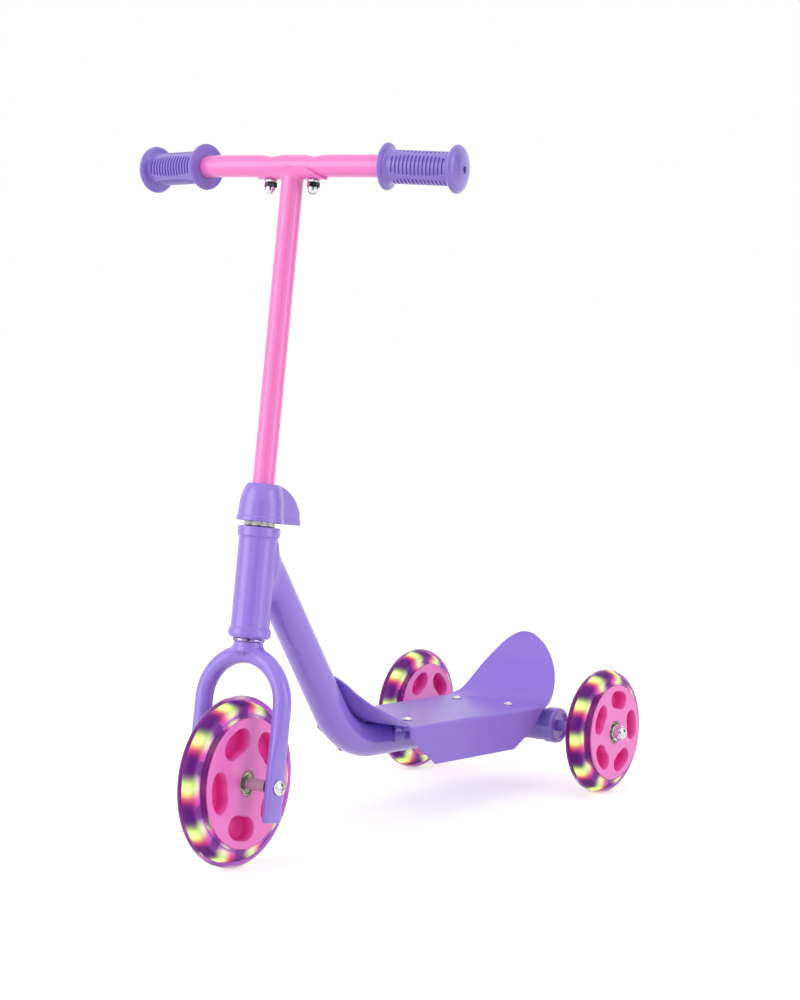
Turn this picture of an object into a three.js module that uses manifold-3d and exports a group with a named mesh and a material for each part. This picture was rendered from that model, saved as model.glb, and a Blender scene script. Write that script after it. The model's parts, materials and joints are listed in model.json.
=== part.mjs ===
// A small child's three-wheel scooter: one steered wheel in front, two fixed wheels behind a
// pressed steel footboard. Millimetres, +Z up, +X is the rider's left, the scooter faces -Y.
// The origin is on the floor, under the middle of the length over the wheels.

import * as THREE from 'three';
import { mergeVertices } from 'three/addons/utils/BufferGeometryUtils.js';
import Module from 'manifold-3d';

const wasm = await Module();
wasm.setup();

// Overall layout
const wheelBase = 446;
const frontWheelRadius = 75;
const rearWheelRadius = 60;
const rearWheelOffset = 109.3;
const steeringLean = THREE.MathUtils.degToRad(9.6);
const deckPitch = THREE.MathUtils.degToRad(3.67);
const deckRise = 21.9;
const deckHeightAtAxle = rearWheelRadius + deckRise;
const clearance = 0.3;
const overrun = 5;

// Wheels
const tyreHalfWidth = 11;
const tyreLipHalfWidth = 13.7;
const tyreLipHeight = 3.3;
const tyreFlatHalfWidth = 0.75;
const hubHalfWidth = 14;
const frontTyreDepth = 17.3;
const rearTyreDepth = 13.5;
const frontHubRadius = frontWheelRadius - frontTyreDepth;
const rearHubRadius = rearWheelRadius - rearTyreDepth;
const frontTread = 6.5;
const rearTread = 5.2;
const ledGrooveHalfWidth = 5.5;
const ledStripThickness = 1.4;
const ledLength = 6;
const ledCount = 10;
const rimRingWidth = 7;
const webHalfThickness = 1.6;
const pocketCount = 5;
const frontPocketTurn = THREE.MathUtils.degToRad(43);
const rearPocketTurn = THREE.MathUtils.degToRad(5);
const bearingRadius = 11;
const bearingWidth = 7;
const sleeveRadius = 7.8;

// A spoke pocket's outline from its narrow inner end: place outward and half width
const pocketShares = [[0.45, 0.1], [0.5, 0.2], [0.6, 0.28], [0.74, 0.315]];
const pocketRimShare = 0.93;

// Axles and their hardware
const axleRadius = 3.85;
const spacerRadius = 5.5;
const washerRadius = 8;
const washerThickness = 1.5;
const axleHeadRadius = 7;
const axleHeadHeight = 4.4;
const axleHeadShares = [[0.93, 0.4], [0.6, 0.85]];
const recessWidth = 1.4;
const recessDepth = 2;
const recessShare = 0.55;
const capNutCornerRadius = 7.5;
const capNutLength = 9.4;
const capNutThread = 6;

// A cap nut's dome: radius against the flats, then place along the nut
const capDomeShare = 0.94;
const capDomeShares = [[1, 0.6], [0.82, 0.85], [0.4, 1]];

// Fork, measured along the steering axis from the front wheel's centre
const legOffset = 42.3;
const forkTubeRadius = 8;
const forkTubeWall = 1.8;
const archCentre = 68.6;
const flattenStart = 46;
const flattenEnd = 20;
const legTip = -31;
const legTipHalfWidth = 10.5;
const legTipCorner = 3;
const legTipHalfThickness = 4.5;
const socketRadius = 12.75;
const socketTop = 121.4;
const steererRadius = 11.1;
const steererBore = 10;
const steererTop = 247;
const ventRadius = 2;

// Head, along the same axis
const headRadius = 17;
const headBore = 14.9;
const headBottom = 125;
const headTop = 222.1;
const collarRadius = 18.7;
const collarHeight = 8.5;
const collarChamfer = 1.6;
const headBearingRadius = 15.6;
const headBearingHeight = 7.4;
const crownRaceRadius = 14;
const lockNutCornerRadius = 14.1;
const lockNutSides = 10;
const lockNutHeight = 6.4;
const clampRadius = 15.8;
const clampBottom = 231;
const clampHeight = 14;
const clampSlot = 2.4;
const clampEarReach = 33;
const clampEarThickness = 3.4;
const clampBoltRadius = 2.8;
const clampBoltHeadRadius = 4.8;
const clampBoltHeadHeight = 2.8;

// Hood over the clamp
const hoodBottom = 226.6;
const hoodHeight = 33.7;
const hoodRadius = 20.8;
const hoodWall = 2;
const humpHalfWidth = 12;
const humpHeight = 33;
const humpReach = 42.3;
const humpShift = 3;

// Height up the hood and its radius there
const hoodShares = [[0, 1], [0.26, 0.962], [0.515, 0.933], [0.775, 0.827], [0.95, 0.7], [1, 0.65]];

// Stem and handlebar
const stemRadius = 9.7;
const stemBore = 8.3;
const stemBottom = 152;
const barHeight = 538.5;
const barRadius = 9.9;
const barBore = 8.4;
const barBendOffset = 84;
const barBendRadius = 130;
const barArmLength = 81.5;
const barSweep = THREE.MathUtils.degToRad(9.1);
const barDroop = THREE.MathUtils.degToRad(0.7);
const cradleHalfLength = 38.5;
const cradleThickness = 2;
const cradleHalfAngle = THREE.MathUtils.degToRad(75);
const barBoltOffset = 23;
const barBoltRadius = 2.45;
const barBoltHeadRadius = 4.4;
const barBoltHeadHeight = 2.6;
const barBoltTopShare = 0.8;
const spotFaceDepth = 1.6;
const barNutFlangeRadius = 6.3;
const barNutFlangeHeight = 1.5;
const barNutRadius = 4.9;
const barNutLength = 12.5;
const barNutThread = 9.5;
const barNutTipShares = [[0.6, 0.12], [1, 0.5]];

// Grips, with distances along the arm from the bar's bend
const gripInner = 12.4;
const gripOuter = 86.5;
const gripFlange = 4.2;
const gripFlangeRadius = 20.9;
const gripEndRadius = 21.3;
const gripBarrelRadius = 14.6;
const gripEndWall = 3.5;
const gripEndHoleRadius = 3;
const gripGrooves = 14;
const gripGrooveDepth = 1;

// The inner flange's and the end knob's outlines: radius, then place in flange thicknesses
const gripFlangeShares = [[0.94, 0], [1, 0.4], [0.93, 0.8]];
const gripKnobShares = [[0.97, 0.7], [1, 1.3], [0.93, 1.8]];
const gripFaceShares = [0.6, 0.33];

// Frame tubes
const frameTubeRadius = 15.9;
const frameTubeBore = 14.1;
const downTubeMeets = 202.5;
const downTubeAngle = THREE.MathUtils.degToRad(55.8);
const downTubeBendRadius = 85.5;
const axleTubeHalfLength = 48.2;
const bushFlangeRadius = 17.5;
const bushFlangeLength = 12.7;
const bushSpigotLength = 15;
const bushChamfer = 1.5;

// Footboard, with distances forward from the rear axle and depths below the top face
const deckHalfWidth = 57;
const deckThickness = 1.8;
const deckCornerRadius = 4;
const skirtDepth = 37.8;
const skirtFrontRun = 15.6;
const skirtNoseDepth = 11.3;
const skirtNoseRun = 39.7;
const skirtRear = 23.2;
const skirtRearRun = 31.2;
const skirtHeelDepth = 28.2;
const skirtHeelLength = 4.3;
const skirtHeelRun = 20.7;
const fenderStart = 18;
const fenderReach = 52;
const fenderHeight = 61.2;
const tongueHeight = 51.5;
const tongueStraight = 34;
const frontBoltBack = 216;
const frontBoltOffset = 25;
const rearBoltBack = 47;
const rearBoltOffset = 30;
const deckBoltRadius = 2.85;
const deckBoltHeadRadius = 5.6;
const deckBoltHeadHeight = 2.7;
const deckBoltHeadShares = [[0.94, 0.45], [0.6, 1]];
const bracketHalfLength = 42;
const bracketDepth = 16;
const bracketThickness = 3;
const weldNutRadius = 6;
const weldNutHeight = 5;

// The fender's curve in the side view: reach backwards and rise
const fenderCurveShares = [
  [0, 0], [0.25, 0.059], [0.46, 0.188], [0.69, 0.41], [0.865, 0.637], [0.96, 0.85], [1, 1.03],
];
// Rise and half width of the bent-up ends in the front view
const fenderOutlineShares = [
  [0, 1.03], [0.049, 0.926], [0.147, 0.877], [0.239, 0.839], [0.423, 0.747], [0.6, 0.61],
  [0.8, 0.444], [0.869, 0.337], [0.956, 0.18], [0.992, 0.06], [1, 0],
];
const tongueOutlineShares = [
  [0.01, 1.03], [0.1, 0.96], [0.18, 0.916], [0.32, 0.775], [0.45, 0.58], [0.57, 0.477],
  [0.66, 0.382], [0.79, 0.304], [0.88, 0.205], [0.95, 0.1], [1, 0],
];

// Facet counts
const wheelSides = 28;
const tubeSides = 16;
const gripSides = 14;
const pinSides = 12;
const hexSides = 6;
const rimSteps = 4;
const cornerSteps = 3;
const tipSteps = 4;
const foldSteps = 3;
const bendSteps = 6;
const barBendSteps = 2;
const fenderSteps = 10;

const materials = {
  lilacPaint: new THREE.MeshStandardMaterial({ color: 0x9b82de, roughness: 0.35, metalness: 0.1 }),
  pinkPaint: new THREE.MeshStandardMaterial({ color: 0xff82d2, roughness: 0.35, metalness: 0.1 }),
  lilacGloss: new THREE.MeshStandardMaterial({ color: 0x8f76d6, roughness: 0.2, metalness: 0 }),
  lilacGrip: new THREE.MeshStandardMaterial({ color: 0x8a72cf, roughness: 0.5, metalness: 0 }),
  pinkPlastic: new THREE.MeshStandardMaterial({ color: 0xff7ccc, roughness: 0.35, metalness: 0 }),
  clearTyre: new THREE.MeshStandardMaterial({ color: 0x6a1c86, roughness: 0.2, metalness: 0 }),
  lamp: new THREE.MeshStandardMaterial({ color: 0xd8ff50, roughness: 0.3, metalness: 0 }),
  chrome: new THREE.MeshStandardMaterial({ color: 0xd8d8dc, roughness: 0.12, metalness: 1 }),
  steel: new THREE.MeshStandardMaterial({ color: 0x9a9a94, roughness: 0.3, metalness: 1 }),
  clearSpacer: new THREE.MeshStandardMaterial({ color: 0xd8b4cc, roughness: 0.3, metalness: 0 }),
  darkRubber: new THREE.MeshStandardMaterial({ color: 0x3c3a44, roughness: 0.7, metalness: 0 }),
};

// Solids from geometries, and back

function facesOut(positions, triangles) {
  let volume = 0;
  for (let i = 0; i < triangles.length; i += 3) {
    const [a, b, c] = [0, 1, 2].map((k) => new THREE.Vector3().fromArray(positions, 3 * triangles[i + k]));
    volume += a.dot(b.cross(c));
  }
  return volume > 0;
}

function solidOf(geometry) {
  const bare = new THREE.BufferGeometry();
  bare.setAttribute('position', geometry.getAttribute('position').clone());
  if (geometry.index) bare.setIndex(geometry.index.clone());
  const merged = mergeVertices(bare);
  const positions = merged.getAttribute('position').array;
  const triangles = [];
  for (let i = 0; i < merged.index.count; i += 3) {
    const [a, b, c] = merged.index.array.slice(i, i + 3);
    if (a !== b && b !== c && c !== a) triangles.push(a, b, c);
  }
  if (!facesOut(positions, triangles)) triangles.reverse();
  const mesh = { numProp: 3, vertProperties: positions, triVerts: new Uint32Array(triangles) };
  return new wasm.Manifold(new wasm.Mesh(mesh));
}

function geometryOf(solid) {
  const mesh = solid.getMesh();
  const geometry = new THREE.BufferGeometry();
  geometry.setAttribute('position', new THREE.BufferAttribute(mesh.vertProperties, 3));
  geometry.setIndex(new THREE.BufferAttribute(mesh.triVerts, 1));
  geometry.computeVertexNormals();
  return geometry;
}

function joined(...geometries) {
  return geometryOf(geometries.map((each) => solidOf(each)).reduce((sum, next) => sum.add(next)));
}

function common(...geometries) {
  return geometryOf(geometries.map((each) => solidOf(each)).reduce((shared, next) => shared.intersect(next)));
}

function cut(...geometries) {
  return geometryOf(geometries.map((each) => solidOf(each)).reduce((rest, tool) => rest.subtract(tool)));
}

function mirrored(geometry) {
  return geometry.clone().scale(-1, 1, 1);
}

function place(group, name, geometry, material) {
  const mesh = new THREE.Mesh(geometryOf(solidOf(geometry)), materials[material]);
  mesh.name = name;
  group.add(mesh);
  return mesh;
}

// Places a piece drawn for the +X side, and its mirror image
function placePair(group, name, geometry, material) {
  place(group, `${name}_left`, geometry, material);
  place(group, `${name}_right`, mirrored(geometry), material);
}

// Turned shapes: a profile lists [radius, place along the axis]

function turned(profile, sides) {
  const onAxis = profile[0][0] === 0 && profile[profile.length - 1][0] === 0;
  const loop = onAxis ? profile : [...profile, profile[0]];
  return new THREE.LatheGeometry(loop.map(([radius, along]) => new THREE.Vector2(radius, along)), sides);
}

function turnedX(profile, sides) {
  return turned(profile, sides).rotateZ(-Math.PI / 2);
}

function turnedZ(profile, sides) {
  return turned(profile, sides).rotateX(Math.PI / 2);
}

function ring(inner, outer, from, to) {
  return [[inner, from], [outer, from], [outer, to], [inner, to]];
}

function disc(radius, from, to) {
  return [[0, from], [radius, from], [radius, to], [0, to]];
}

// The radius that a facetted circle has at the middle of its facets
function flatRadius(radius, sides) {
  return radius * Math.cos(Math.PI / sides);
}

// Flat shapes and bars

function block(low, high) {
  const size = high.map((value, axis) => value - low[axis]);
  return new THREE.BoxGeometry(...size).translate(...low.map((value, axis) => value + size[axis] / 2));
}

function extruded(points, depth) {
  const shape = new THREE.Shape(points.map(([across, up]) => new THREE.Vector2(across, up)));
  return new THREE.ExtrudeGeometry(shape, { depth, bevelEnabled: false });
}

// An outline in the side view (y, z), between two places along x
function sidePlate(points, from, to) {
  const turn = new THREE.Matrix4().makeBasis(
    new THREE.Vector3(0, 1, 0), new THREE.Vector3(0, 0, 1), new THREE.Vector3(1, 0, 0));
  return extruded(points, to - from).applyMatrix4(turn).translate(from, 0, 0);
}

// An outline in the front view (x, z), between two places along y
function frontPlate(points, from, to) {
  return extruded(points, to - from).rotateX(Math.PI / 2).translate(0, to, 0);
}

function arcPoints(centre, radiusAcross, radiusUp, from, to, steps) {
  return Array.from({ length: steps + 1 }, (_, i) => {
    const angle = from + (to - from) * i / steps;
    return [centre[0] + radiusAcross * Math.cos(angle), centre[1] + radiusUp * Math.sin(angle)];
  });
}

// A path of straight runs joined by true arcs. The corners are Vector3, the radii belong to the
// inner corners. It steps once along each straight run and evenly round each bend.
class BentPath extends THREE.Curve {
  constructor(corners, radii, stepsPerBend) {
    super();
    this.runs = [];
    let start = corners[0];
    radii.forEach((radius, i) => {
      const corner = corners[i + 1];
      const along = corner.clone().sub(corners[i]).normalize();
      const away = corners[i + 2].clone().sub(corner).normalize();
      const turn = along.angleTo(away);
      const from = corner.clone().addScaledVector(along, -radius * Math.tan(turn / 2));
      const inward = away.clone().addScaledVector(along, -along.dot(away)).normalize();
      const centre = from.clone().addScaledVector(inward, radius);
      const arc = (share) => centre.clone()
        .addScaledVector(inward, -radius * Math.cos(turn * share))
        .addScaledVector(along, radius * Math.sin(turn * share));
      this.addStraight(start, from);
      this.runs.push({ steps: stepsPerBend, at: arc });
      start = arc(1);
    });
    this.addStraight(start, corners[corners.length - 1]);
    this.steps = this.runs.reduce((sum, run) => sum + run.steps, 0);
  }

  addStraight(from, to) {
    if (from.distanceTo(to) > clearance) {
      this.runs.push({ steps: 1, at: (share) => from.clone().lerp(to, share) });
    }
  }

  getPoint(t) {
    let left = t * this.steps;
    for (const run of this.runs) {
      if (left <= run.steps) return run.at(left / run.steps);
      left -= run.steps;
    }
    return this.runs[this.runs.length - 1].at(1);
  }

  getUtoTmapping(u) {
    return u;
  }
}

function bentBar(path, radius, sides) {
  const circle = arcPoints([0, 0], radius, radius, 0, 2 * Math.PI, sides).slice(0, -1);
  const shape = new THREE.Shape(circle.map(([across, up]) => new THREE.Vector2(across, up)));
  return new THREE.ExtrudeGeometry(shape, { extrudePath: path, steps: path.steps, bevelEnabled: false });
}

// The side view has the rear axle at y = 0 and the floor at z = 0

function deckTop(forward) {
  return deckHeightAtAxle + forward * Math.tan(deckPitch);
}

// Moves a geometry drawn along the steering axis, from the front wheel's centre, into the side view
function leaned(geometry) {
  return geometry.rotateX(-steeringLean).translate(0, -wheelBase, frontWheelRadius);
}

// Moves a geometry drawn flat, with the footboard's top face at zero, into the side view
function pitched(geometry) {
  return geometry.rotateX(-deckPitch).translate(0, 0, deckHeightAtAxle);
}

// Wheels, drawn round their own centre with the axle along x

function tyre(radius, hubRadius, tread) {
  const foot = hubRadius + tyreLipHeight;
  const crown = (turn) => [
    foot + (radius - foot) * Math.sin(turn),
    tyreFlatHalfWidth + (tyreHalfWidth - tyreFlatHalfWidth) * Math.cos(turn),
  ];
  const side = Array.from({ length: cornerSteps + 1 }, (_, i) => crown(Math.PI / 2 * i / cornerSteps));
  const half = [[hubRadius, ledGrooveHalfWidth], [hubRadius, tyreLipHalfWidth], ...side];
  const otherHalf = half.map(([across, along]) => [across, -along]).reverse();
  const groove = [[radius - tread, -ledGrooveHalfWidth], [radius - tread, ledGrooveHalfWidth]];
  return turnedX([...half, ...otherHalf, ...groove], wheelSides);
}

function pocketOutline(hubRadius) {
  const outer = hubRadius - rimRingWidth;
  const side = pocketShares.map(([out, half]) => [out * hubRadius, half * hubRadius]);
  const spread = Math.asin(side[side.length - 1][1] / outer) * pocketRimShare;
  const rim = arcPoints([0, 0], outer, outer, spread, -spread, rimSteps);
  return [...side, ...rim, ...side.map(([out, half]) => [out, -half]).reverse()];
}

function hub(hubRadius) {
  const seat = bearingRadius + clearance;
  const seatDepth = hubHalfWidth - bearingWidth - clearance;
  const outer = hubRadius - 2 * clearance;
  const half = [
    [sleeveRadius + clearance, seatDepth], [seat, seatDepth], [seat, hubHalfWidth], [outer, hubHalfWidth],
  ];
  const otherHalf = half.map(([across, along]) => [across, -along]).reverse();
  const body = turnedX([...half, ...otherHalf], wheelSides);
  const blind = extruded(pocketOutline(hubRadius), hubHalfWidth + overrun - webHalfThickness)
    .translate(0, 0, webHalfThickness).rotateY(Math.PI / 2).rotateX(Math.PI / 2);
  const pockets = Array.from({ length: pocketCount }, (_, i) => (
    blind.clone().rotateX(2 * Math.PI * i / pocketCount)));
  return cut(body, ...pockets, ...pockets.map(mirrored));
}

function ledRing(radius, hubRadius, tread) {
  const halfWidth = ledGrooveHalfWidth - clearance;
  const bottom = hubRadius + ledStripThickness / 2;
  const top = flatRadius(radius - tread, wheelSides) - clearance;
  const strip = turnedX(ring(hubRadius, hubRadius + ledStripThickness, -halfWidth, halfWidth), wheelSides);
  const lamp = new THREE.BoxGeometry(halfWidth, ledLength, top - bottom).translate(0, 0, (top + bottom) / 2);
  const lamps = Array.from({ length: ledCount }, (_, i) => (
    lamp.clone().rotateX(2 * Math.PI * (i + 1 / 2) / ledCount)));
  return joined(strip, ...lamps);
}

function wheelBearing() {
  const profile = ring(axleRadius + clearance, bearingRadius, hubHalfWidth - bearingWidth, hubHalfWidth);
  return turnedX(profile, pinSides);
}

function magnetSleeve() {
  const half = hubHalfWidth - bearingWidth - clearance;
  return turnedX(ring(axleRadius + clearance, sleeveRadius, -half, half), pinSides);
}

function addWheel(group, name, [radius, hubRadius, tread, turn], [x, y]) {
  const wheel = new THREE.Group();
  wheel.position.set(x, y, radius);
  place(wheel, `${name}_tyre`, tyre(radius, hubRadius, tread), 'clearTyre');
  place(wheel, `${name}_hub`, hub(hubRadius), 'pinkPlastic').rotation.x = turn;
  place(wheel, `${name}_led_ring`, ledRing(radius, hubRadius, tread), 'lamp');
  placePair(wheel, `${name}_bearing`, wheelBearing(), 'steel');
  place(wheel, `${name}_magnet_sleeve`, magnetSleeve(), 'darkRubber');
  group.add(wheel);
}

// Fork

function forkPath() {
  const top = archCentre + legOffset;
  const start = flattenStart - clearance;
  const corners = [[-legOffset, start], [-legOffset, top], [legOffset, top], [legOffset, start]];
  return new BentPath(corners.map(([x, z]) => new THREE.Vector3(x, 0, z)), [legOffset, legOffset], bendSteps);
}

// A leg's lower end widens and is pressed flat: a turned shape kept between two sloping sides
function legEnd() {
  const tip = arcPoints([legTipHalfWidth - legTipCorner, legTip + legTipCorner], legTipCorner,
    legTipCorner, -Math.PI / 2, 0, tipSteps);
  const lap = flattenStart + forkTubeRadius / 2;
  const shoulder = forkTubeRadius + clearance / 2;
  const round = turnedZ([
    [0, legTip], ...tip, [legTipHalfWidth, flattenEnd], [shoulder, flattenStart],
    [forkTubeRadius - forkTubeWall / 2, lap], [0, lap],
  ], tubeSides);
  const half = [
    [legTipHalfThickness, legTip - overrun], [legTipHalfThickness, flattenEnd],
    [shoulder, flattenStart], [shoulder, lap + overrun],
  ];
  const sides = [...half, ...half.map(([across, up]) => [-across, up]).reverse()];
  return common(round, frontPlate(sides, -legTipHalfWidth - overrun, legTipHalfWidth + overrun))
    .translate(legOffset, 0, 0);
}

// The socket's lower edge runs to a round tongue in front and behind
function crownSocket() {
  const low = arcPoints([0, socketTop + clearance], socketRadius, socketRadius, -Math.PI, 0, pinSides);
  const round = frontPlate(low, -socketRadius - overrun, socketRadius + overrun);
  return common(turnedZ(disc(socketRadius, archCentre, socketTop), tubeSides), round);
}

function fork() {
  const archTop = archCentre + legOffset + forkTubeRadius;
  const boreBottom = archTop + forkTubeWall / 2;
  const arch = bentBar(forkPath(), forkTubeRadius, tubeSides);
  const archBore = bentBar(forkPath(), forkTubeRadius - forkTubeWall, pinSides);
  const steerer = turnedZ(disc(steererRadius, archTop, steererTop), tubeSides);
  const steererHole = turnedZ(disc(steererBore, boreBottom, steererTop + overrun), tubeSides);
  const vent = turnedZ(disc(ventRadius, archTop - forkTubeRadius, boreBottom + overrun), pinSides);
  const far = legOffset + forkTubeRadius + overrun;
  const axleHole = turnedX(disc(axleRadius + clearance, -far, far), pinSides);
  const body = joined(arch, legEnd(), mirrored(legEnd()), crownSocket(), steerer);
  return cut(body, archBore, steererHole, vent, axleHole);
}

// Head

function headTube() {
  const bottomSeat = headBottom + headBearingHeight + clearance;
  const topSeat = headTop - headBearingHeight - clearance;
  const seat = headBearingRadius + clearance;
  const profile = [
    [seat, headBottom], [collarRadius - collarChamfer, headBottom],
    [collarRadius, headBottom + collarChamfer], [collarRadius, headBottom + collarHeight],
    [headRadius, headBottom + collarHeight],
    [headRadius, headTop - collarHeight], [collarRadius, headTop - collarHeight], [collarRadius, headTop],
    [seat, headTop], [seat, topSeat], [headBore, topSeat], [headBore, bottomSeat], [seat, bottomSeat],
  ];
  return turnedZ(profile, tubeSides);
}

// A ring round the steerer: a bearing or a race
function steererRing(radius, from, height) {
  return turnedZ(ring(steererRadius + clearance, radius, from, from + height), tubeSides);
}

function lockNut() {
  const from = headTop + clearance;
  const nut = turnedZ(disc(lockNutCornerRadius, from, from + lockNutHeight), lockNutSides);
  return cut(nut, turnedZ(disc(steererRadius + clearance, headBottom, steererTop), tubeSides));
}

function clampBoltAxis() {
  return [clampEarReach - clampBoltHeadRadius, clampBottom + clampHeight / 2];
}

function stemClamp() {
  const top = clampBottom + clampHeight;
  const earHalf = clampSlot / 2 + clampEarThickness;
  const far = earHalf + overrun;
  const collar = turnedZ(disc(clampRadius, clampBottom, top), tubeSides);
  const ears = block([-earHalf, 0, clampBottom + clearance], [earHalf, clampEarReach, top - clearance]);
  const bore = turnedZ(disc(steererRadius + clearance, clampBottom - overrun, top + overrun), tubeSides);
  const slot = block(
    [-clampSlot / 2, 0, clampBottom - overrun], [clampSlot / 2, clampEarReach + overrun, top + overrun]);
  const hole = turnedX(disc(clampBoltRadius + clearance, -far, far), pinSides)
    .translate(0, ...clampBoltAxis());
  return cut(joined(collar, ears), bore, slot, hole);
}

function clampBolt() {
  const seat = clampSlot / 2 + clampEarThickness + clearance;
  const profile = [
    [0, -seat], [clampBoltRadius, -seat], [clampBoltRadius, seat], [clampBoltHeadRadius, seat],
    [clampBoltHeadRadius, seat + clampBoltHeadHeight], [0, seat + clampBoltHeadHeight],
  ];
  return turnedX(profile, pinSides).translate(0, ...clampBoltAxis());
}

// The hood's outer form, or its hollow when inset by the wall
function hoodForm(inset, foot) {
  const side = hoodShares.map(([rise, share]) => (
    [hoodRadius * share - inset, hoodBottom + rise * hoodHeight - inset]));
  const top = side[side.length - 1][1];
  const cone = turnedZ([[0, foot], [side[0][0], foot], ...side.slice(1), [0, top]], tubeSides);
  const arc = arcPoints([humpShift, hoodBottom], humpReach - inset, humpHeight - inset, 0, Math.PI / 2,
    bendSteps);
  const hump = sidePlate([[0, foot], [arc[0][0], foot], ...arc.slice(1), [0, arc[bendSteps][1]]],
    inset - humpHalfWidth, humpHalfWidth - inset);
  return joined(cone, hump);
}

function headCover() {
  const stemHole = turnedZ(disc(stemRadius + clearance, hoodBottom, hoodBottom + 2 * hoodHeight), tubeSides);
  return cut(hoodForm(0, hoodBottom), hoodForm(hoodWall, hoodBottom - overrun), stemHole);
}

// Stem and handlebar

function atBoltPlaces(geometry) {
  return [geometry.clone().translate(barBoltOffset, 0, 0), geometry.clone().translate(-barBoltOffset, 0, 0)];
}

function barBoltHoles() {
  const length = cradleHalfLength;
  const hole = disc(barBoltRadius + clearance, barHeight - length, barHeight + length);
  return atBoltPlaces(turnedZ(hole, pinSides));
}

// The saddle under the bar is the lower part of a pipe
function cradle() {
  const inner = barRadius + clearance;
  const pipe = turnedX(ring(inner, inner + cradleThickness, -cradleHalfLength, cradleHalfLength), tubeSides);
  const reach = 2 * barRadius;
  const spread = reach * Math.tan(cradleHalfAngle);
  const far = cradleHalfLength + overrun;
  const wedge = sidePlate([[0, 0], [-spread, -reach], [spread, -reach]], -far, far);
  return common(pipe, wedge).translate(0, 0, barHeight);
}

function stem() {
  const saddleMiddle = barRadius + clearance + cradleThickness / 2;
  const tube = turnedZ(ring(stemBore, stemRadius, stemBottom, barHeight), tubeSides);
  const cope = turnedX(disc(saddleMiddle, -cradleHalfLength, cradleHalfLength), tubeSides)
    .translate(0, 0, barHeight);
  return cut(joined(cut(tube, cope), cradle()), ...barBoltHoles());
}

// The bar's ends sweep back. The path's ends can be drawn out, for the bore
function barPath(drawnOut) {
  const end = new THREE.Vector3(barArmLength + drawnOut, 0, 0).applyEuler(armTurn(1));
  const half = [new THREE.Vector3(barBendOffset, 0, barHeight)];
  half.push(half[0].clone().add(end));
  const otherHalf = half.map(({ x, y, z }) => new THREE.Vector3(-x, y, z)).reverse();
  return new BentPath([...otherHalf, ...half], [barBendRadius, barBendRadius], barBendSteps);
}

// How one arm of the bar is turned from the bar's middle part
function armTurn(side) {
  return new THREE.Euler(0, side * barDroop, side * barSweep, 'ZYX');
}

function handlebar() {
  const seat = barHeight + barRadius - spotFaceDepth;
  const spot = turnedZ(disc(barBoltHeadRadius + clearance, seat, seat + overrun), pinSides);
  const tube = bentBar(barPath(0), barRadius, tubeSides);
  const bore = bentBar(barPath(overrun), barBore, tubeSides);
  return cut(tube, bore, ...barBoltHoles(), ...atBoltPlaces(spot));
}

// The top of the domed nuts, one clearance under the saddle
function barNutTop() {
  return barHeight - barRadius - cradleThickness - 2 * clearance;
}

function barBolt() {
  const seat = barHeight + barRadius - spotFaceDepth + clearance;
  const end = barNutTop() - barNutThread + clearance;
  const profile = [
    [0, end], [barBoltRadius, end], [barBoltRadius, seat], [barBoltHeadRadius, seat],
    [barBoltHeadRadius * barBoltTopShare, seat + barBoltHeadHeight], [0, seat + barBoltHeadHeight],
  ];
  return turnedZ(profile, pinSides).translate(barBoltOffset, 0, 0);
}

// A domed nut with a flange, hanging under the saddle
function barNut() {
  const top = barNutTop();
  const neck = top - barNutFlangeHeight;
  const bottom = top - barNutLength;
  const thread = barBoltRadius + clearance;
  const tip = barNutTipShares.map(([wide, high]) => [barNutRadius * wide, bottom + barNutRadius * high]);
  const profile = [
    [0, bottom], ...tip, [barNutRadius, neck], [barNutFlangeRadius, neck], [barNutFlangeRadius, top],
    [thread, top], [thread, top - barNutThread], [0, top - barNutThread],
  ];
  return turnedZ(profile, pinSides).translate(barBoltOffset, 0, 0);
}

// A grip, drawn along x from the bar's bend
function grip() {
  const bore = barRadius + clearance;
  const barrelStart = gripInner + gripFlange;
  const cupStart = gripOuter - gripEndWall - 2 * gripFlange;
  const pitch = (cupStart - barrelStart) / (gripGrooves + 1);
  const [faceWide, faceBack] = gripFaceShares;
  const flange = gripFlangeShares.map(([wide, along]) => (
    [gripFlangeRadius * wide, gripInner + gripFlange * along]));
  const knob = gripKnobShares.map(([wide, along]) => [gripEndRadius * wide, cupStart + gripFlange * along]);
  const grooves = Array.from({ length: gripGrooves }, (_, i) => {
    const middle = barrelStart + (i + 1) * pitch;
    return [[gripBarrelRadius - gripGrooveDepth, middle], [gripBarrelRadius, middle + pitch / 2]];
  }).flat();
  const profile = [
    [bore, gripInner], ...flange, [gripBarrelRadius, barrelStart], ...grooves,
    [gripBarrelRadius, cupStart], ...knob, [gripEndRadius * faceWide, gripOuter - gripEndWall * faceBack],
    [gripEndHoleRadius, gripOuter], [gripEndHoleRadius, gripOuter - gripEndWall],
    [bore, gripOuter - gripEndWall],
  ];
  return turnedX(profile, gripSides);
}

function addGrips(group) {
  for (const [name, side] of [['grip_left', 1], ['grip_right', -1]]) {
    const arm = new THREE.Group();
    arm.position.set(side * barBendOffset, 0, barHeight);
    arm.rotation.copy(armTurn(side));
    place(arm, name, side > 0 ? grip() : mirrored(grip()), 'lilacGrip');
    group.add(arm);
  }
}

// Axle hardware, along x

function spacer(from, to) {
  return turnedX(ring(axleRadius + clearance, spacerRadius, from, to), pinSides);
}

function washer(from) {
  return turnedX(ring(axleRadius + clearance, washerRadius, from, from + washerThickness), pinSides);
}

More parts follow.
